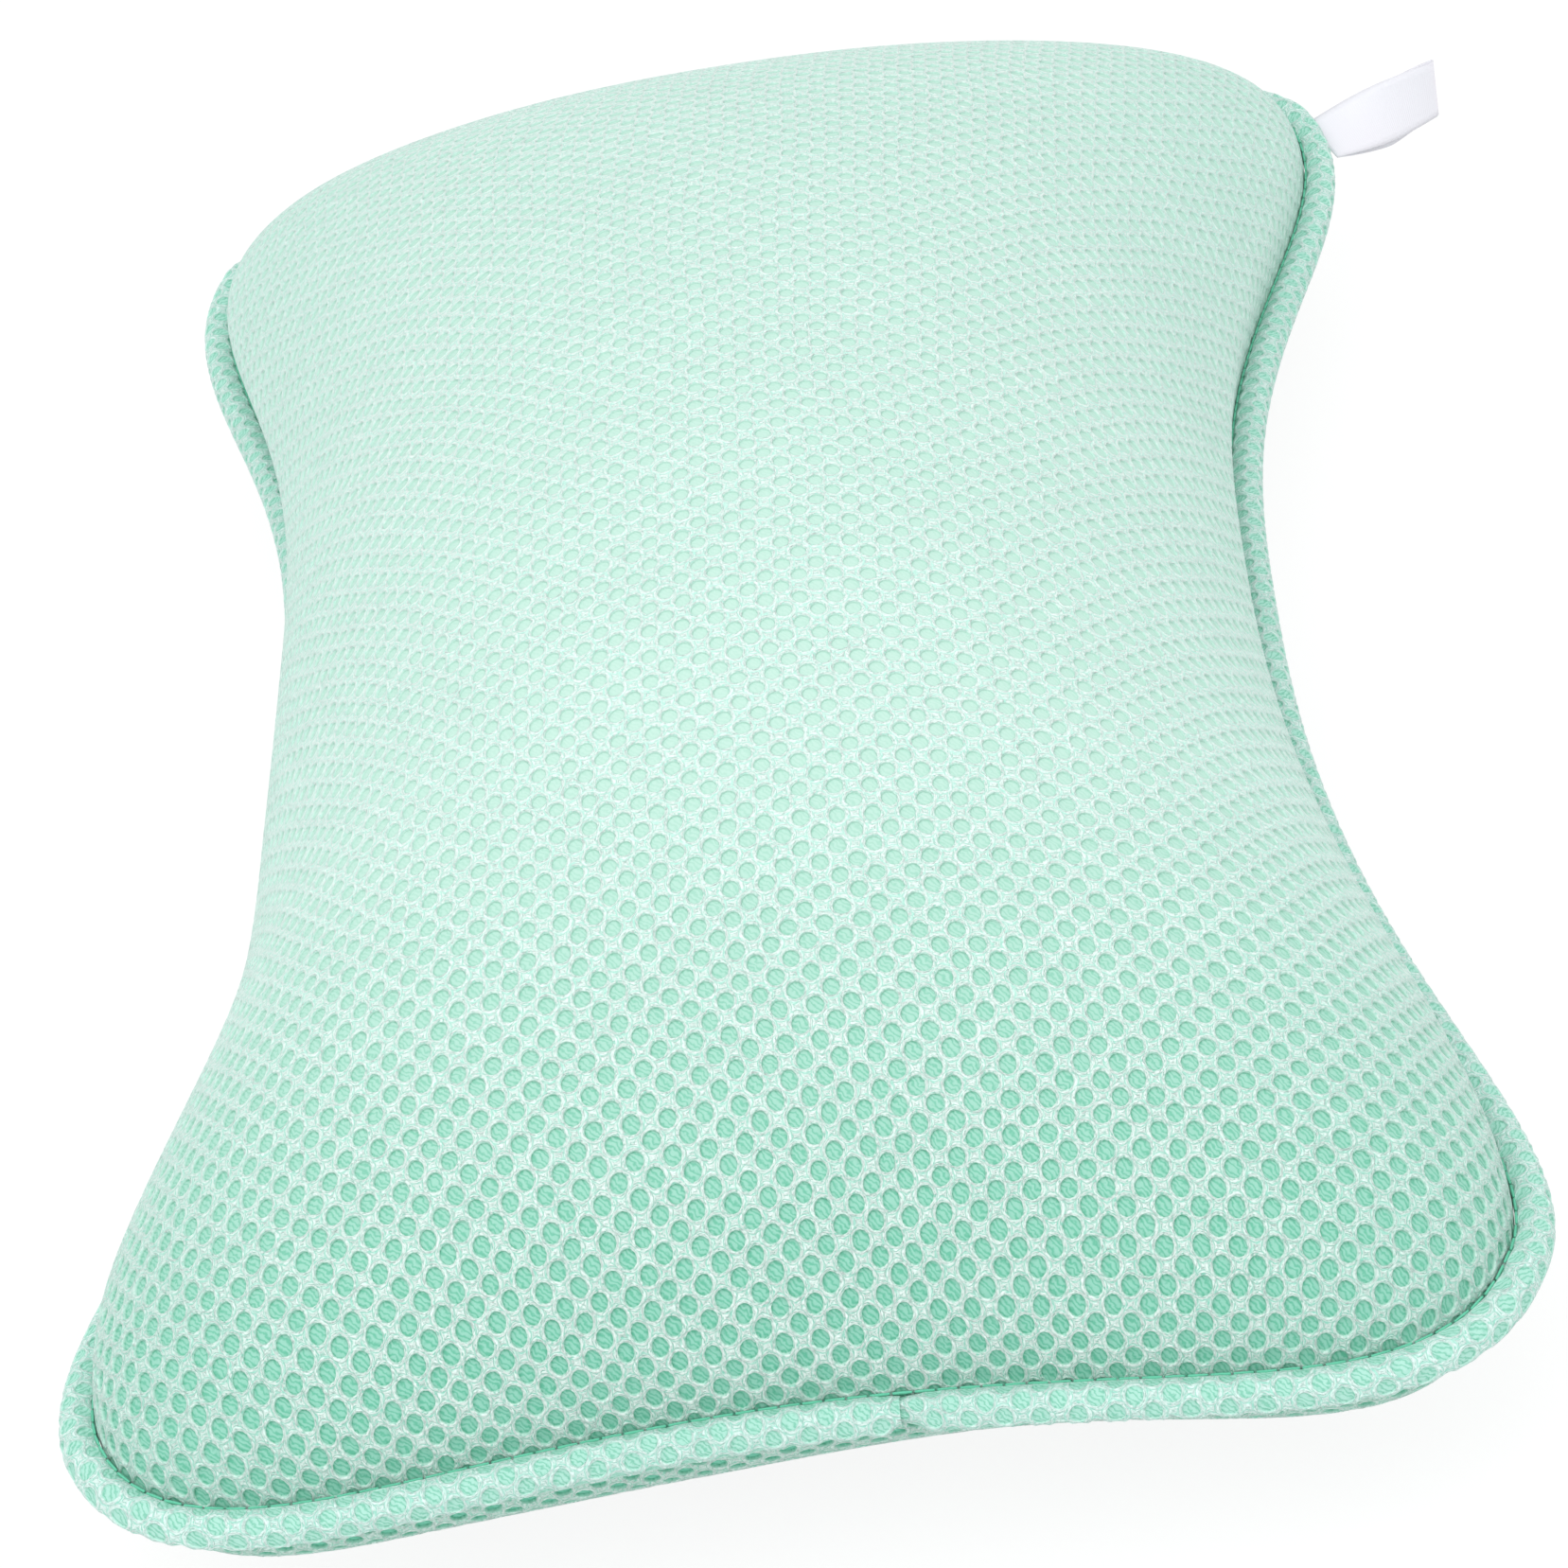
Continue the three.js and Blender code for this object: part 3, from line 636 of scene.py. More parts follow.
def piping_panel():
    """The panel of the piping: along the seam, and round the roll from crease to crease. The
    first end is drawn in and lies inside the last one, which closes softly over it. Both keep to
    the crease."""
    count, around, wrap = 1600, 41, math.radians(158)
    line, outward, places, length = outline(count, PIPING_OVERLAP)
    angle = np.linspace(-wrap, wrap, around)
    tucked = 1 - smooth((places - PIPING_OVERLAP) / PIPING_TUCK)
    closed = 1 - smooth((places[-1] - places) / PIPING_MOUTH)
    radius = PIPING_RADIUS * (1 - (1 - TUCKED_SHARE) * tucked - (1 - MOUTH_SHARE) * closed)
    out = PIPING_CENTRE + (PIPING_RADIUS - radius) * math.cos(wrap)
    centre = line + outward * out[:, None]
    rounds = outward[:, None] * np.cos(angle)[None, :, None] + UP * np.sin(angle)[None, :, None]
    points = centre[:, None] + rounds * radius[:, None, None]
    ends, creases = (-places[-1] / 2, places[-1] / 2), (-PIPING_RADIUS * wrap, PIPING_RADIUS * wrap)
    return Panel(points, np.stack(np.meshgrid(ends, creases, indexing="ij"), axis=-1))


def capsule(bm, start, end, radius):
    """Adds a rounded stitch between two points to a bmesh."""
    made = bmesh.ops.create_uvsphere(bm, u_segments=8, v_segments=6, radius=radius)["verts"]
    along = Vector(end) - Vector(start)
    turn = Vector((0, 0, 1)).rotation_difference(along).to_matrix()
    for v in made:
        stretch = math.copysign(along.length / 2, v.co.z) if abs(v.co.z) > radius / 9 else 0
        v.co = turn @ (v.co + Vector((0, 0, stretch)))
    bmesh.ops.translate(bm, verts=made, vec=(Vector(start) + Vector(end)) / 2)


def seam_stitches():
    """The row of stitches in the crease between the front and the piping."""
    length = outline(2)[3]
    count = round(length / STITCH_LENGTH)
    line, outward, places, length = outline(2 * count + 1)
    path = line + outward * STITCH_OUT + UP * STITCH_UP
    bm = bmesh.new()
    for k in range(0, 2 * count, 2):
        a, b = Vector(path[k]), Vector(path[k + 1])
        ahead = (b - a).normalized() * (STITCH_LENGTH / 2 - STITCH_GAP)
        capsule(bm, a - ahead, a + ahead, STITCH_RADIUS)
    return finish_bmesh(bm, "seam_stitches")


def fibre_filling(front, back, cup_places):
    """The loose fibre between the covers, pushed up over each washer and cup head."""
    bm = bmesh.new()
    for height in (1.0, -1.0):
        made = bmesh.ops.create_grid(bm, x_segments=90, y_segments=150, size=FILLING_REACH)["verts"]
        bmesh.ops.translate(bm, verts=made, vec=(0, 0, height))
    lower = [f for f in bm.faces if f.calc_center_median().z < 0]
    bmesh.ops.reverse_faces(bm, faces=lower)
    bmesh.ops.bridge_loops(bm, edges=[e for e in bm.edges if e.is_boundary])
    bmesh.ops.recalc_face_normals(bm, faces=bm.faces)
    for face in bm.faces:
        face.smooth = True
    piece = finish_bmesh(bm, "fibre_filling")
    flat = read_places(piece.data)
    inset = np.full(len(flat), -FILLING_INSET)
    above = front.place(flat[:, 0], flat[:, 1], inset)
    below = back.place(-flat[:, 0], flat[:, 1], inset)
    placed = np.where(flat[:, 2:] > 0, above, below)
    for x, y in cup_places:
        reach = np.hypot(placed[:, 0] - x, placed[:, 1] - y)
        levels = (HEAD_LEVEL, HEAD_LEVEL, WASHER_LEVEL, WASHER_LEVEL, 0)
        reaches = (0, HEAD_REACH, HEAD_REACH + 0.001, WASHER_REACH, PUSHED_REACH)
        pushed = np.maximum(placed[:, 2], np.interp(reach, reaches, levels))
        placed[:, 2] = np.where(flat[:, 2] < 0, pushed, placed[:, 2])
    write_places(piece.data, placed)
    return piece


def bend(start, control, end, steps=CUP_PROFILE_STEPS):
    """Profile points of a curve from start to end that leans towards a control point."""
    return [
        tuple((1 - k) ** 2 * a + 2 * k * (1 - k) * c + k * k * b for a, c, b in zip(start, control, end))
        for k in (step / steps for step in range(steps + 1))
    ]


def eased(corners, ease, closed=False):
    """A profile whose corners are rounded by an ease."""
    points = []
    for k, corner in enumerate(corners):
        if not closed and k in (0, len(corners) - 1):
            points.append(corner)
            continue
        here = Vector(corner)
        sides = [Vector(corners[k - 1]) - here, Vector(corners[(k + 1) % len(corners)]) - here]
        near, far = (here + way.normalized() * min(ease, way.length / 2) for way in sides)
        points += bend(tuple(near), corner, tuple(far), 4)
    return points


def spun(profile, closed=False, steps=64):
    """A bmesh turned about the vertical from a profile of (radius, height)."""
    bm = bmesh.new()
    verts = [bm.verts.new((radius, 0, height)) for radius, height in profile]
    pairs = list(zip(verts, verts[1:])) + ([(verts[-1], verts[0])] if closed else [])
    edges = [bm.edges.new(pair) for pair in pairs]
    bmesh.ops.spin(
        bm, geom=verts + edges, cent=(0, 0, 0), axis=(0, 0, 1), angle=2 * math.pi, steps=steps,
        use_merge=True,
    )
    bmesh.ops.remove_doubles(bm, verts=bm.verts, dist=1e-6)
    bmesh.ops.recalc_face_normals(bm, faces=bm.faces)
    for face in bm.faces:
        face.smooth = True
    return bm


def cup_tab():
    """The pull tab of a suction cup, a rounded tongue."""
    half, reach = TAB_WIDTH / 2, CUP_RIM_RADIUS + TAB_REACH - TAB_WIDTH / 2
    start = CUP_RIM_RADIUS - TAB_OVERLAP
    turns = [math.radians(a) for a in range(-90, 91, 10)]
    shape = [(start, -half)] + [(reach + half * math.cos(a), half * math.sin(a)) for a in turns]
    bm = bmesh.new()
    face = bm.faces.new([bm.verts.new((x, y, TAB_LIFT)) for x, y in shape + [(start, half)]])
    made = bmesh.ops.extrude_face_region(bm, geom=[face])["geom"]
    top = [g for g in made if isinstance(g, bmesh.types.BMVert)]
    bmesh.ops.translate(bm, verts=top, vec=(0, 0, TAB_THICKNESS))
    bmesh.ops.recalc_face_normals(bm, faces=bm.faces)
    rims = [e for e in bm.edges if abs(e.calc_face_angle(0)) > 1]
    bmesh.ops.bevel(
        bm, geom=rims, offset=TAB_THICKNESS / 4, affect="EDGES", segments=3, profile=0.5, material=-1
    )
    return finish_bmesh(bm, "tab")


def joined(body, others, operation, solver="EXACT"):
    """A mesh object cut by, or joined to, other ones, which are used up."""
    for other in others:
        change = body.modifiers.new("solid", "BOOLEAN")
        change.operation = operation
        change.object = other
        change.solver = solver
    evaluated = body.evaluated_get(bpy.context.evaluated_depsgraph_get())
    mesh = bpy.data.meshes.new_from_object(evaluated)
    body.modifiers.clear()
    body.data = mesh
    for other in others:
        bpy.data.objects.remove(other)
    return body


def suction_cup():
    """A moulded cup with its tab towards +X: dished rim, hub, neck and mushroom head."""
    cavity = bend((0, CUP_CAVITY), (CUP_SEAL_RADIUS / 2, CUP_CAVITY), (CUP_SEAL_RADIUS, 0))
    rim = [(CUP_RIM_RADIUS - 0.0002, 0), (CUP_RIM_RADIUS, 0.0002)]
    rim.append((CUP_RIM_RADIUS, CUP_RIM_EDGE - 0.0002))
    dish_edge, dish_end = (CUP_RIM_RADIUS - 0.0002, CUP_RIM_EDGE), (CUP_HUB_RADIUS + 0.0006, CUP_DISH)
    dish = bend(dish_edge, (CUP_RIM_RADIUS / 2, CUP_DISH), dish_end)
    stem = eased(
        [
            (CUP_HUB_RADIUS + 0.0006, CUP_DISH),
            (CUP_HUB_RADIUS, CUP_DISH + 0.0006),
            (CUP_HUB_RADIUS, CUP_HEIGHT),
            (CUP_NECK_RADIUS, CUP_HEIGHT),
            (CUP_NECK_RADIUS, CUP_HEAD_LEVEL),
            (CUP_HEAD_RADIUS, CUP_HEAD_LEVEL),
            (CUP_HEAD_RADIUS, CUP_HEAD_SIDE),
        ],
        0.0007,
    )
    head = bend((CUP_HEAD_RADIUS, CUP_HEAD_SIDE), (CUP_HEAD_RADIUS, CUP_HEAD_TOP), (0, CUP_HEAD_TOP))
    cup = finish_bmesh(spun(cavity + rim + dish + stem[1:] + head[1:]), "cup")
    return joined(cup, [cup_tab()], "UNION")


def eyelet_body():
    """The eyelet's flange, barrel and snap bead."""
    corners = [
        (EYELET_BORE, FLANGE_LEVEL),
        (EYELET_FLANGE, FLANGE_LEVEL),
        (EYELET_FLANGE, PATCH_LEVEL),
        (EYELET_BARREL, PATCH_LEVEL),
        (EYELET_BARREL, WASHER_TOP),
        (EYELET_BARREL + 0.0005, WASHER_TOP),
        (EYELET_BARREL, BARREL_TOP),
        (EYELET_BORE, BARREL_TOP),
    ]
    return finish_bmesh(spun(eased(corners, 0.0004, True), True), "eyelet")


def ring(inner, outer, low, high, ease):
    corners = [(inner, low), (outer, low), (outer, high), (inner, high)]
    return spun(eased(corners, ease, True), True)


def eyelet_patch():
    """The cloth patch under an eyelet, with its ring of stitches."""
    bm = ring(BARREL_HOLE, PATCH_RADIUS, PATCH_LEVEL, PATCH_TOP, 0.00025)
    cloth_faces = set(bm.faces)
    reach, count = PATCH_RADIUS - 0.0018, 34
    for k in range(count):
        ends = [2 * math.pi * (k + share) / count for share in (0.14, 0.86)]
        points = [(reach * math.cos(a), reach * math.sin(a), PATCH_LEVEL) for a in ends]
        capsule(bm, *points, 0.0002)
    for face in bm.faces:
        face.smooth = True
        face.material_index = 0 if face in cloth_faces else 1
    return finish_bmesh(bm, "patch")


def copy_at(template, name, place, turn=0.0):
    """A copy of a template, turned and moved in its own mesh."""
    mesh = template.data.copy()
    mesh.transform(Matrix.Translation((*place, 0)) @ Matrix.Rotation(turn, 4, "Z"))
    return mesh_object(name, mesh)


def satin_ribbon():
    """The ribbon: a front layer that twists from its sewn root to the upright fold, and a back
    layer that hangs a little lower, with a soft turn between them."""
    layer, turn_steps, across = 28, 8, 8
    q = np.linspace(0, 1, layer)[:, None]
    near = np.array(ROOT_NEAR) * (1 - q) + np.array(FOLD_NEAR) * q
    far = np.array(ROOT_FAR) * (1 - q) + np.array(FOLD_FAR) * q
    sag = np.minimum(q / 0.52, (1 - q) / 0.48)
    sag = np.where(sag > 0.9, 0.9 + (sag - 0.9) * 0.5, sag)
    part = np.sin(np.pi * q) + RIBBON_FOLD_RADIUS / abs(BACK_LAYER_GAP[1]) * 2 * smooth(q)
    near_back = near + sag * np.array(BACK_LAYER_SAG) + part * np.array(BACK_LAYER_GAP)
    far_back = far + part * np.array(BACK_LAYER_GAP) + sag * np.array((0, 0, -0.0006))
    front_middle, back_middle = (near + far) / 2, (near_back + far_back) / 2
    front_way, back_way = unit(far - near), unit(far_back - near_back)
    apart = back_middle[-1] - front_middle[-1]
    ahead = unit(front_middle[-1] - front_middle[-2])
    angles = np.linspace(0, np.pi, turn_steps + 2)[1:-1, None]
    turn_middle = (
        (front_middle[-1] + back_middle[-1]) / 2
        - apart / 2 * np.cos(angles)
        + ahead * np.linalg.norm(apart) / 2 * np.sin(angles)
    )
    share = angles / np.pi
    turn_way = unit(front_way[-1] * (1 - share) + back_way[-1] * share)
    middles = np.vstack([front_middle, turn_middle, back_middle[::-1]])
    ways = np.vstack([front_way, turn_way, back_way[::-1]])
    bm = bmesh.new()
    rows = len(middles)
    run = np.concatenate([[0], np.cumsum(np.linalg.norm(np.diff(middles, axis=0), axis=1))])
    weave = bm.verts.layers.float_vector.new("weave")
    table = []
    for i in range(rows):
        table.append([])
        for j in range(across + 1):
            side = (j / across - 0.5) * RIBBON_WIDTH
            v = bm.verts.new(middles[i] + ways[i] * side)
            v[weave] = (side, run[i], 0)
            table[i].append(v)
    for i in range(rows - 1):
        for j in range(across):
            bm.faces.new((table[i][j], table[i][j + 1], table[i + 1][j + 1], table[i + 1][j]))
    for face in bm.faces:
        face.smooth = True
    ribbon = finish_bmesh(bm, "satin_ribbon")
    thick = ribbon.modifiers.new("thickness", "SOLIDIFY")
    thick.thickness = RIBBON_THICKNESS
    thick.offset = 0
    return joined(ribbon, [], "UNION")


def linear(hex_colour):
    """Linear RGBA of an sRGB hex value."""
    channels = [int(hex_colour[k:k + 2], 16) / 255 for k in (1, 3, 5)]
    return [c / 12.92 if c <= 0.04045 else ((c + 0.055) / 1.055) ** 2.4 for c in channels] + [1.0]


def add_node(tree, kind, inputs=None, **settings):
    """Adds a node; an input takes a number, a colour or another node's output."""
    node = tree.nodes.new("ShaderNode" + kind)
    for name, value in settings.items():
        setattr(node, name, value)
    for socket, value in (inputs or {}).items():
        if isinstance(value, bpy.types.NodeSocket):
            tree.links.new(value, node.inputs[socket])
        else:
            node.inputs[socket].default_value = value
    return node


def reckon(tree, operation, *values):
    """The output of a maths node over numbers and other nodes' outputs."""
    return add_node(tree, "Math", dict(enumerate(values)), operation=operation).outputs["Value"]


def blend_colours(tree, share, low, high):
    """A colour between two, by a share."""
    return add_node(tree, "Mix", {"Factor": share, 6: low, 7: high}, data_type="RGBA").outputs[2]


def new_material(name, colour, roughness):
    material = bpy.data.materials.new(name)
    material.use_nodes = True
    tree = material.node_tree
    shader = tree.nodes["Principled BSDF"]
    shader.inputs["Base Color"].default_value = linear(colour)
    shader.inputs["Roughness"].default_value = roughness
    return material, tree, shader


def add_bump(tree, shader, height, depth):
    bump = add_node(tree, "Bump", {"Height": height, "Distance": depth, "Strength": 1.0})
    tree.links.new(bump.outputs["Normal"], shader.inputs["Normal"])


FIRST_RING = 1.22          # the innermost yarn round a hole, and the step to the next one
RING_APART = 0.64
TURNS_ROUND_HOLE = 11.0
STRANDS_ACROSS = 7.0       # filaments to one size of the hole, and to one radian round it
STRANDS_ROUND = 2.4


def from_nearest_hole(tree, place):
    """Distance and direction from the nearest hole's centre, for a place in cloth pitches. Holes
    lie at whole pitches and half-way between them. Distances are in sizes of the hole."""
    split = add_node(tree, "SeparateXYZ", {"Vector": place})
    sizes = (PITCH_ACROSS / HOLE_HALF_WIDTH, PITCH_ALONG / HOLE_HALF_LENGTH)
    offsets, distances = [], []
    for start in (0.0, 0.5):
        offset = []
        for axis, size in zip("XY", sizes):
            moved = reckon(tree, "SUBTRACT", split.outputs[axis], start)
            off = reckon(tree, "SUBTRACT", moved, reckon(tree, "ROUND", moved))
            offset.append(reckon(tree, "MULTIPLY", off, size))
        across = reckon(tree, "MULTIPLY", offset[0], offset[0])
        offsets.append(offset)
        distances.append(reckon(tree, "SQRT", reckon(tree, "MULTIPLY_ADD", offset[1], offset[1], across)))
    nearer = reckon(tree, "LESS_THAN", *distances)
    x, y = (
        add_node(tree, "Mix", {0: nearer, 2: offsets[1][k], 3: offsets[0][k]}).outputs[0] for k in (0, 1)
    )
    return reckon(tree, "MINIMUM", *distances), reckon(tree, "ARCTAN2", y, x)


def knitted_yarn(name, yarn_colour, gap_colour, near_end_shade_colour):
    """Bright polyester filament, warp knitted into rings of two yarns round the holes. The eye sees silky
    chains of slanted loops with fine mint gaps between them, whose colour is partly the cloth beneath and
    partly painted shade between the loops. Painted shade deepens the gaps towards the near end, and the yarn
    is painted darker on the flanks."""
    material, tree, shader = new_material(name, yarn_colour, 0.42)
    cloth = add_node(tree, "Attribute", attribute_name="cloth").outputs["Vector"]
    wander = add_node(tree, "TexNoise", {"Vector": cloth, "Scale": 4.0, "Detail": 2.0})
    middle = add_node(
        tree, "VectorMath", {0: wander.outputs["Color"], 1: (0.5, 0.5, 0.5)}, operation="SUBTRACT"
    )
    moved = add_node(
        tree, "VectorMath", {0: middle.outputs["Vector"], 1: (0.15, 0.15, 0.0), 2: cloth},
        operation="MULTIPLY_ADD",
    )
    reach, direction = from_nearest_hole(tree, moved.outputs["Vector"])
    ring = reckon(tree, "DIVIDE", reckon(tree, "SUBTRACT", reach, FIRST_RING), RING_APART)
    beside = reckon(tree, "MULTIPLY", reckon(tree, "SUBTRACT", ring, reckon(tree, "ROUND", ring)), 2.0)
    ridge = reckon(tree, "SUBTRACT", 1.0, reckon(tree, "MULTIPLY", beside, beside))
    slant = reckon(tree, "MULTIPLY_ADD", direction, TURNS_ROUND_HOLE, reckon(tree, "MULTIPLY", beside, 2.2))
    loops = reckon(tree, "SINE", slant)
    here = add_node(tree, "VectorMath", {0: cloth, 1: (1.3, 2.1, 0.0)}, operation="DOT_PRODUCT")
    along = add_node(
        tree, "CombineXYZ",
        {
            "X": reckon(tree, "MULTIPLY", reach, STRANDS_ACROSS),
            "Y": reckon(tree, "MULTIPLY_ADD", direction, STRANDS_ROUND, reckon(tree, "MULTIPLY", reach, 1.5)),
            "Z": here.outputs["Value"],
        },
    )
    strands = add_node(tree, "TexNoise", {"Vector": along.outputs["Vector"], "Scale": 1.0, "Detail": 2.0})
    parted = reckon(tree, "MULTIPLY_ADD", strands.outputs["Fac"], 4.4, -1.4)
    twist = reckon(tree, "MULTIPLY_ADD", loops, 0.2, parted)
    height = reckon(tree, "MULTIPLY", ridge, reckon(tree, "MAXIMUM", twist, 0.0))
    share = reckon(tree, "MINIMUM", reckon(tree, "POWER", reckon(tree, "MULTIPLY", height, 1.3), 0.8), 1.0)
    # Painted shade: less of the yarn colour shows on the flanks, so they look darker.
    flank = add_node(tree, "Attribute", attribute_name="flank").outputs["Fac"]
    share = reckon(tree, "MULTIPLY", share, reckon(tree, "MULTIPLY_ADD", flank, -FLANK_PAINTED_SHADE, 1.0))
    # Painted shade towards the near end: the gaps between the loops turn a deeper green there.
    tight_and_painted_shade = add_node(tree, "Attribute", attribute_name="tight_and_painted_shade").outputs["Fac"]
    gap = blend_colours(tree, tight_and_painted_shade, linear(gap_colour), linear(near_end_shade_colour))
    # The gap colour is partly the mint cloth between the loops and partly painted shade in the grooves; the
    # yarn colour shows on the ridges.
    colour = blend_colours(tree, share, gap, linear(yarn_colour))
    tree.links.new(colour, shader.inputs["Base Color"])
    shader.inputs["Sheen Weight"].default_value = 0.15
    shader.inputs["Sheen Roughness"].default_value = 0.4
    add_bump(tree, shader, height, 0.00013)
    return material


def spacer_lining(name, deep_colour, upper_colour, near_end_shade_colour):
    """Spacer yarns that stand between the two faces of the fabric, seen down the wells. Mint with slanted
    streaks at the floor, twice as coarse as the real fibres so that they show, painted paler up the wall
    where the light reaches, and with painted shade towards the near end, where the floor turns a deeper
    green."""
    material, tree, shader = new_material(name, deep_colour, 0.75)
    cloth = add_node(tree, "Attribute", attribute_name="cloth").outputs["Vector"]
    split = add_node(tree, "SeparateXYZ", {"Vector": cloth})
    flat = add_node(tree, "CombineXYZ", {"X": split.outputs["X"], "Y": split.outputs["Y"], "Z": 0.0})
    streaks = add_node(
        tree, "TexWave",
        {
            "Vector": flat.outputs["Vector"], "Scale": 3.4, "Distortion": 7.0,
            "Detail": 2.0, "Detail Scale": 1.5,
        },
        bands_direction="DIAGONAL",
    )
    # Painted light: the wall is paler higher up, where the light reaches.
    upper = add_node(
        tree, "MapRange", {"Value": split.outputs["Z"], "From Min": -1.0, "From Max": -0.3}
    ).outputs["Result"]
    # Painted shade towards the near end: the well floors turn a deeper green and the dark spacer yarn streaks
    # show more there.
    tight_and_painted_shade = add_node(tree, "Attribute", attribute_name="tight_and_painted_shade").outputs["Fac"]
    floor_colour = blend_colours(tree, tight_and_painted_shade, linear(deep_colour), linear(near_end_shade_colour))
    wall = blend_colours(tree, upper, floor_colour, linear(upper_colour))
    shown = reckon(tree, "MULTIPLY_ADD", tight_and_painted_shade, 0.75, 0.1)
    shown = reckon(tree, "MULTIPLY", shown, reckon(tree, "SUBTRACT", 1.0, upper))
    lines = reckon(tree, "MULTIPLY", reckon(tree, "POWER", streaks.outputs["Fac"], 2.0), shown)
    colour = blend_colours(tree, lines, wall, linear("#4FAE8E"))
    tree.links.new(colour, shader.inputs["Base Color"])
    return material


def sewing_thread():
    """Spun polyester sewing thread, matt, a deeper green than the cloth: partly its dye and partly painted
    shade of the seam's crease.
    """
    return new_material("spun_polyester_thread", "#66C4A4", 0.7)[0]


def carded_fibre():
    """Carded hollow polyester fibre: soft white, with the faint cloudiness of its tangle."""
    material, tree, shader = new_material("carded_polyester_fibre", "#F3F6F3", 0.9)
    place = add_node(tree, "TexCoord").outputs["Object"]
    cloud = add_node(tree, "TexNoise", {"Vector": place, "Scale": 240.0, "Detail": 4.0})
    add_bump(tree, shader, cloud.outputs["Fac"], 0.0012)
    return material


def woven_satin():
    """Satin-woven polyester ribbon: white, with a soft gloss, faint ribs across it and a firm
    woven edge."""
    material, tree, shader = new_material("woven_polyester_satin", "#E3E2E9", 0.42)
    weave = add_node(tree, "Attribute", attribute_name="weave").outputs["Vector"]
    split = add_node(tree, "SeparateXYZ", {"Vector": weave})
    ribs = reckon(tree, "SINE", reckon(tree, "MULTIPLY", split.outputs["Y"], 2 * math.pi / 0.00045))
    edge = reckon(tree, "ABSOLUTE", split.outputs["X"])
    firm = add_node(
        tree, "MapRange",
        {"Value": edge, "From Min": RIBBON_WIDTH / 2 - 0.0008, "From Max": RIBBON_WIDTH / 2 - 0.0005},
    ).outputs["Result"]
    height = reckon(tree, "MULTIPLY_ADD", ribs, 0.12, firm)
    add_bump(tree, shader, height, 0.00004)
    shader.inputs["Sheen Weight"].default_value = 0.2
    return material


def tightly_woven_patch():
    """Plain-woven polyester patch: flat mint cloth in a fine square weave."""
    material, tree, shader = new_material("plain_woven_polyester", "#A8DCCB", 0.8)
    place = add_node(tree, "TexCoord").outputs["Object"]
    split = add_node(tree, "SeparateXYZ", {"Vector": place})
    waves_across, waves_along = (
        reckon(tree, "SINE", reckon(tree, "MULTIPLY", split.outputs[axis], 2 * math.pi / 0.0008))
        for axis in ("X", "Y")
    )
    add_bump(tree, shader, reckon(tree, "MULTIPLY", waves_across, waves_along), 0.00006)
    return material


def moulded_eyelet():
    """Injection-moulded polypropylene: pale, half gloss, with the faintest mould texture."""
    material, tree, shader = new_material("moulded_polypropylene", "#EAF4F0", 0.32)
    place = add_node(tree, "TexCoord").outputs["Object"]
    grain = add_node(tree, "TexNoise", {"Vector": place, "Scale": 1800.0, "Detail": 1.0})
    add_bump(tree, shader, grain.outputs["Fac"], 0.00001)
    return material


def moulded_pvc():
    """Soft PVC from a polished mould: clear and glossy, with a faint cool tint."""
    material, tree, shader = new_material("moulded_clear_pvc", "#EFF8F8", 0.06)
    shader.inputs["Transmission Weight"].default_value = 0.6
    shader.inputs["IOR"].default_value = 1.53
    return material


# Covers, piping and filling
front = cover_panel(front_place)
back = cover_panel(lambda s, t: back_place(-s, t))
piping = piping_panel()
front_piece = net_piece("front_mesh", front, FABRIC * 0.8, (60, 90), COVER_SIDES)
back_piece = net_piece("back_mesh", back, FABRIC * 0.95, (60, 90), BACK_SIDES)
piping_piece = net_piece(
    "piping_roll", piping, PIPING_WALL, (400, 10), COVER_SIDES, phase=(0.0, 0.07), depth_share=0.62,
    pull=PIPING_PULL,
)
holes = []
for x, y in CUP_PLACES:
    bm = bmesh.new()
    bmesh.ops.create_cone(
        bm, cap_ends=True, segments=48, radius1=BARREL_HOLE, radius2=BARREL_HOLE, depth=0.02
    )
    bmesh.ops.translate(bm, verts=bm.verts, vec=(x, y, BACK_LEVEL))
    holes.append(finish_bmesh(bm, "hole"))
joined(back_piece, holes, "DIFFERENCE", "MANIFOLD")
filling = fibre_filling(front, back, CUP_PLACES)
stitches = seam_stitches()
ribbon = satin_ribbon()

# The third colour of each yarn and the last of each lining are painted shade towards the near end.
front_yarn = knitted_yarn("knitted_polyester_yarn", "#E3F5EF", "#ABE0D1", "#7FC6B1")
piping_yarn = knitted_yarn("knitted_polyester_yarn_rolled", "#DEF6F0", "#9EDBCA", "#86CDB9")
back_yarn = knitted_yarn("knitted_polyester_yarn_back", "#DFF5EE", "#9AD6C4", "#82CCB4")
front_lining = spacer_lining("spacer_fabric_lining", "#BADACE", "#CAE5DC", "#8CC8B5")
piping_lining = spacer_lining("spacer_fabric_lining_rolled", "#AEDCCE", "#C6E6DC", "#A6D6C8")
back_lining = spacer_lining("spacer_fabric_lining_back", "#9CD0C0", "#B4DDD0", "#7AC7AF")
thread, fibre, satin = sewing_thread(), carded_fibre(), woven_satin()
patch_cloth, eyelet_plastic, clear_pvc = tightly_woven_patch(), moulded_eyelet(), moulded_pvc()


def settle(piece, materials, slot, *nodes, body="pillow"):
    """Gives a piece its materials and its place in the frame."""
    empty_slots = len(piece.data.materials)
    for k, material in enumerate(materials):
        if k < empty_slots:
            piece.data.materials[k] = material
        else:
            piece.data.materials.append(material)
    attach(piece, body)
    if nodes:
        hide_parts(*nodes)


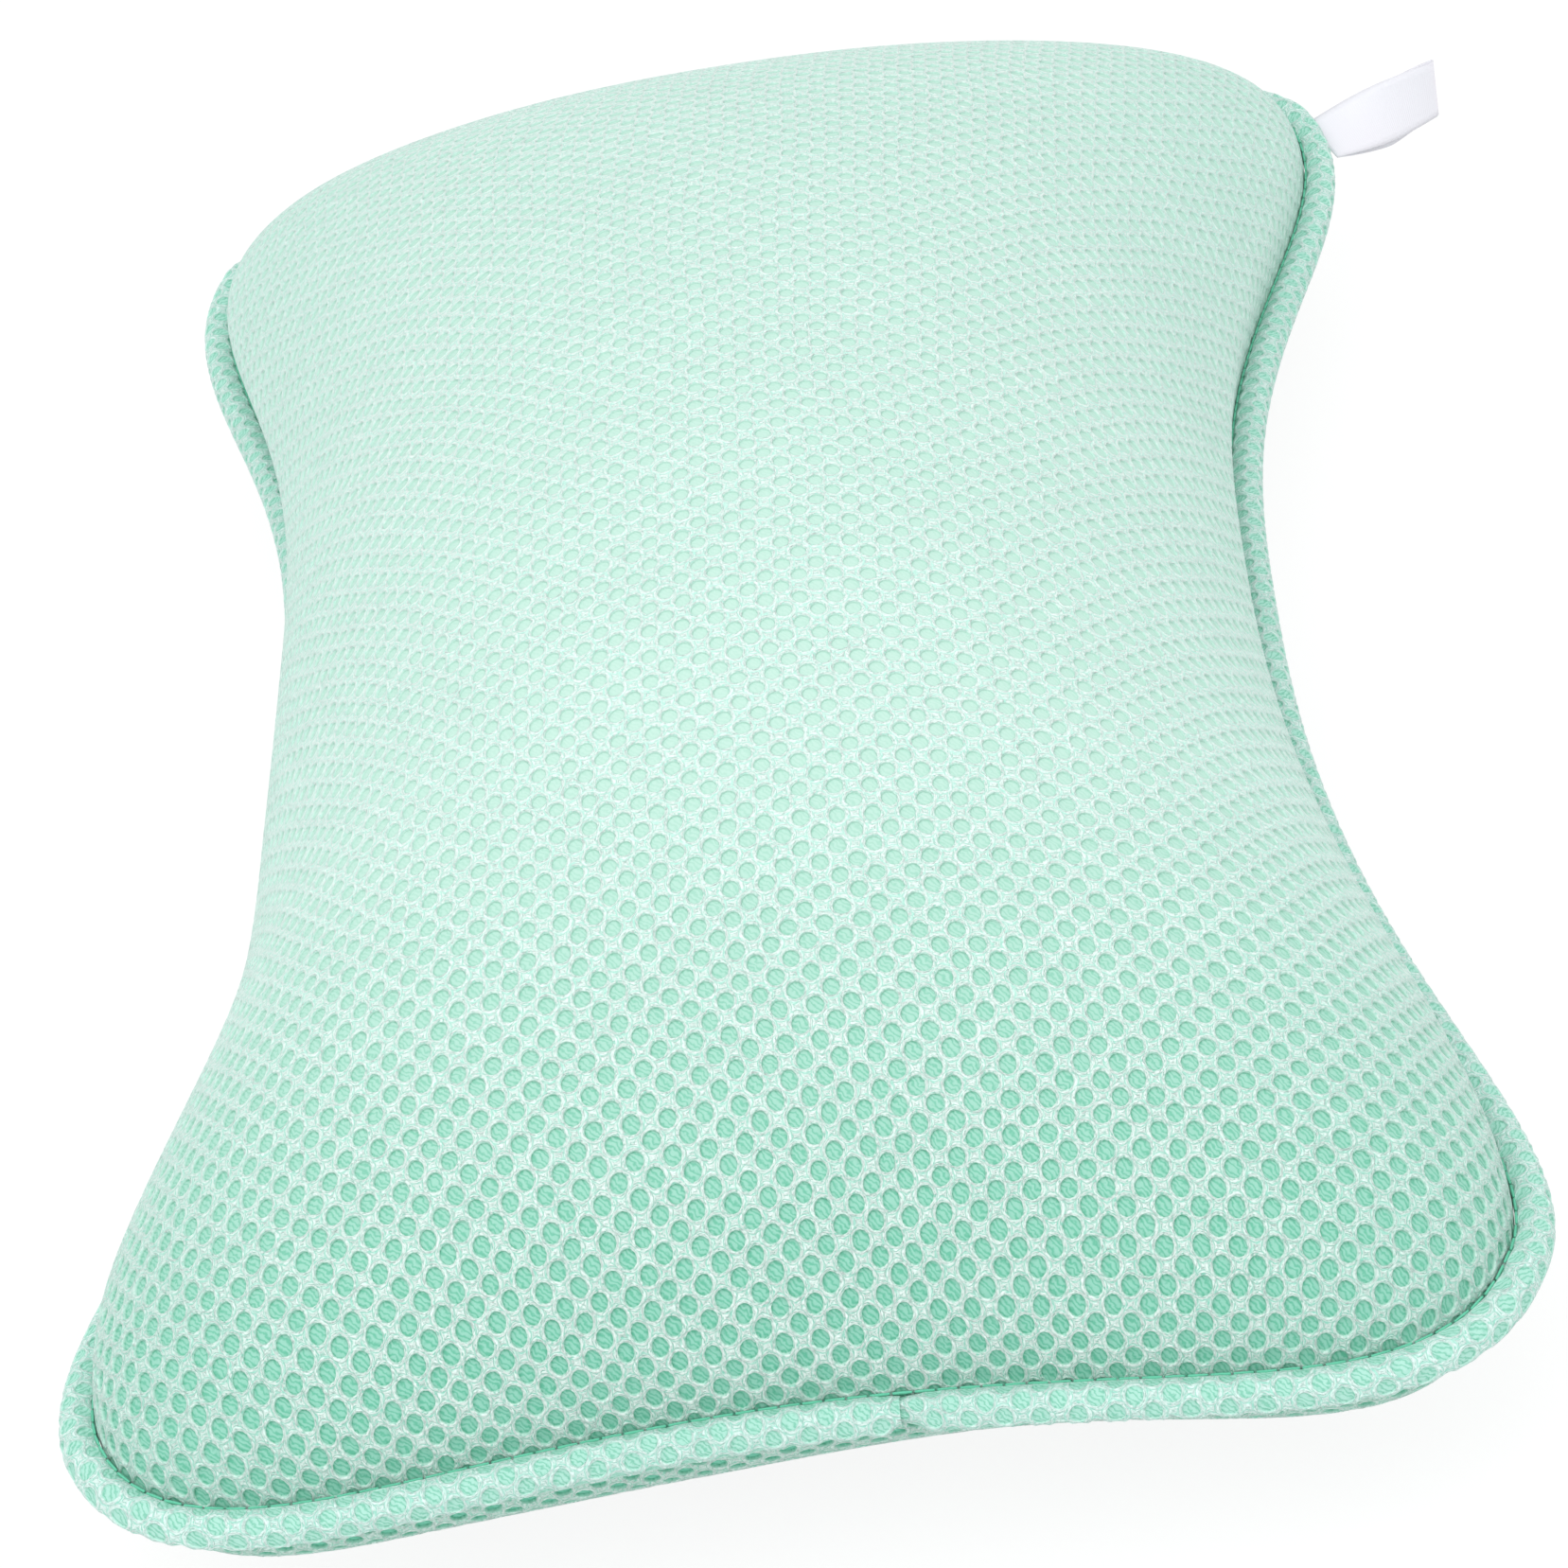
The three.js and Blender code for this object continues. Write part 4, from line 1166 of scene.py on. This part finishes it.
settle(front_piece, (front_yarn, front_lining), "mesh", "front_cover")
settle(back_piece, (back_yarn, back_lining), "back_mesh", "back_cover")
settle(piping_piece, (piping_yarn, piping_lining), "piping", "piping")
settle(filling, (fibre,), "fibre", "filling")
settle(stitches, (thread,), "piping")

# Ribbon
ribbon.data.materials.append(satin)
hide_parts("ribbon_loop")
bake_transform(ribbon)

# Suction cups in their eyelets
cup, eyelet, patch = suction_cup(), eyelet_body(), eyelet_patch()
washer = finish_bmesh(ring(BARREL_HOLE, EYELET_FLANGE, WASHER_BASE, WASHER_TOP, 0.0003), "washer")
for k, place in enumerate(CUP_PLACES, 1):
    turn = 0.0 if k % 2 == 0 else math.pi
    cup_copy = copy_at(cup, f"clear_cup_{k}", place, turn)
    settle(cup_copy, (clear_pvc,), "clear_pvc", f"suction_cup_{k}", body=f"suction_cup_{k}")
    settle(copy_at(eyelet, f"snap_eyelet_{k}", place), (eyelet_plastic,), "eyelet", f"eyelet_{k}")
    settle(copy_at(patch, f"stitched_patch_{k}", place), (patch_cloth, thread), "patch", f"eyelet_patch_{k}")
    settle(copy_at(washer, f"snap_washer_{k}", place), (eyelet_plastic,), "eyelet", f"eyelet_washer_{k}")
for template in (cup, eyelet, patch, washer):
    bpy.data.objects.remove(template)

# Camera and light
CAMERA_PLACE = Vector((0.06057, -0.78001, 0.56929))
CAMERA_YAW, CAMERA_DIP, CAMERA_ROLL = (math.radians(d) for d in (5.607, 35.293, 11.478))
camera = bpy.data.objects.new("camera", bpy.data.cameras.new("camera"))
bpy.context.scene.collection.objects.link(camera)
camera.data.lens = 121.93
camera.data.sensor_width = 36
turn = (
    Matrix.Rotation(CAMERA_YAW, 4, "Z")
    @ Matrix.Rotation(math.pi / 2 - CAMERA_DIP, 4, "X")
    @ Matrix.Rotation(-CAMERA_ROLL, 4, "Z")
)
camera.matrix_world = Matrix.Translation(CAMERA_PLACE) @ turn
bpy.context.scene.camera = camera

world = bpy.data.worlds.new("studio")
bpy.context.scene.world = world
world.use_nodes = True
world.node_tree.nodes["Background"].inputs["Color"].default_value = (1, 1, 1, 1)
world.node_tree.nodes["Background"].inputs["Strength"].default_value = 0.95

lamp = bpy.data.objects.new("softbox", bpy.data.lights.new("softbox", "AREA"))
bpy.context.scene.collection.objects.link(lamp)
lamp.data.size = 1.1
lamp.data.energy = 7.1
lamp.location = (-0.1, -0.5, 1.15)
lamp.rotation_euler = (Vector((0, 0, 0.05)) - lamp.location).to_track_quat("-Z", "Y").to_euler()

FLOOR_LEVEL = -0.0003      # just below the cups' sealing rings
bm = bmesh.new()
bmesh.ops.create_grid(bm, x_segments=1, y_segments=1, size=6.0)
bmesh.ops.translate(bm, verts=bm.verts, vec=(0, 0, FLOOR_LEVEL))
floor = finish_bmesh(bm, "floor")
paper, tree, shader = new_material("white_paper", "#F4F4F4", 0.9)
glow = add_node(tree, "Emission", {"Color": (1, 1, 1, 1), "Strength": 1.04})
path = add_node(tree, "LightPath")
seen = reckon(tree, "MAXIMUM", path.outputs["Is Camera Ray"], path.outputs["Is Transmission Ray"])
share = reckon(tree, "MULTIPLY", seen, 0.86)
mix = add_node(tree, "MixShader", {0: share, 1: shader.outputs["BSDF"], 2: glow.outputs["Emission"]})
tree.links.new(mix.outputs["Shader"], tree.nodes["Material Output"].inputs["Surface"])
floor.data.materials.append(paper)

bpy.context.scene.view_settings.view_transform = "Standard"
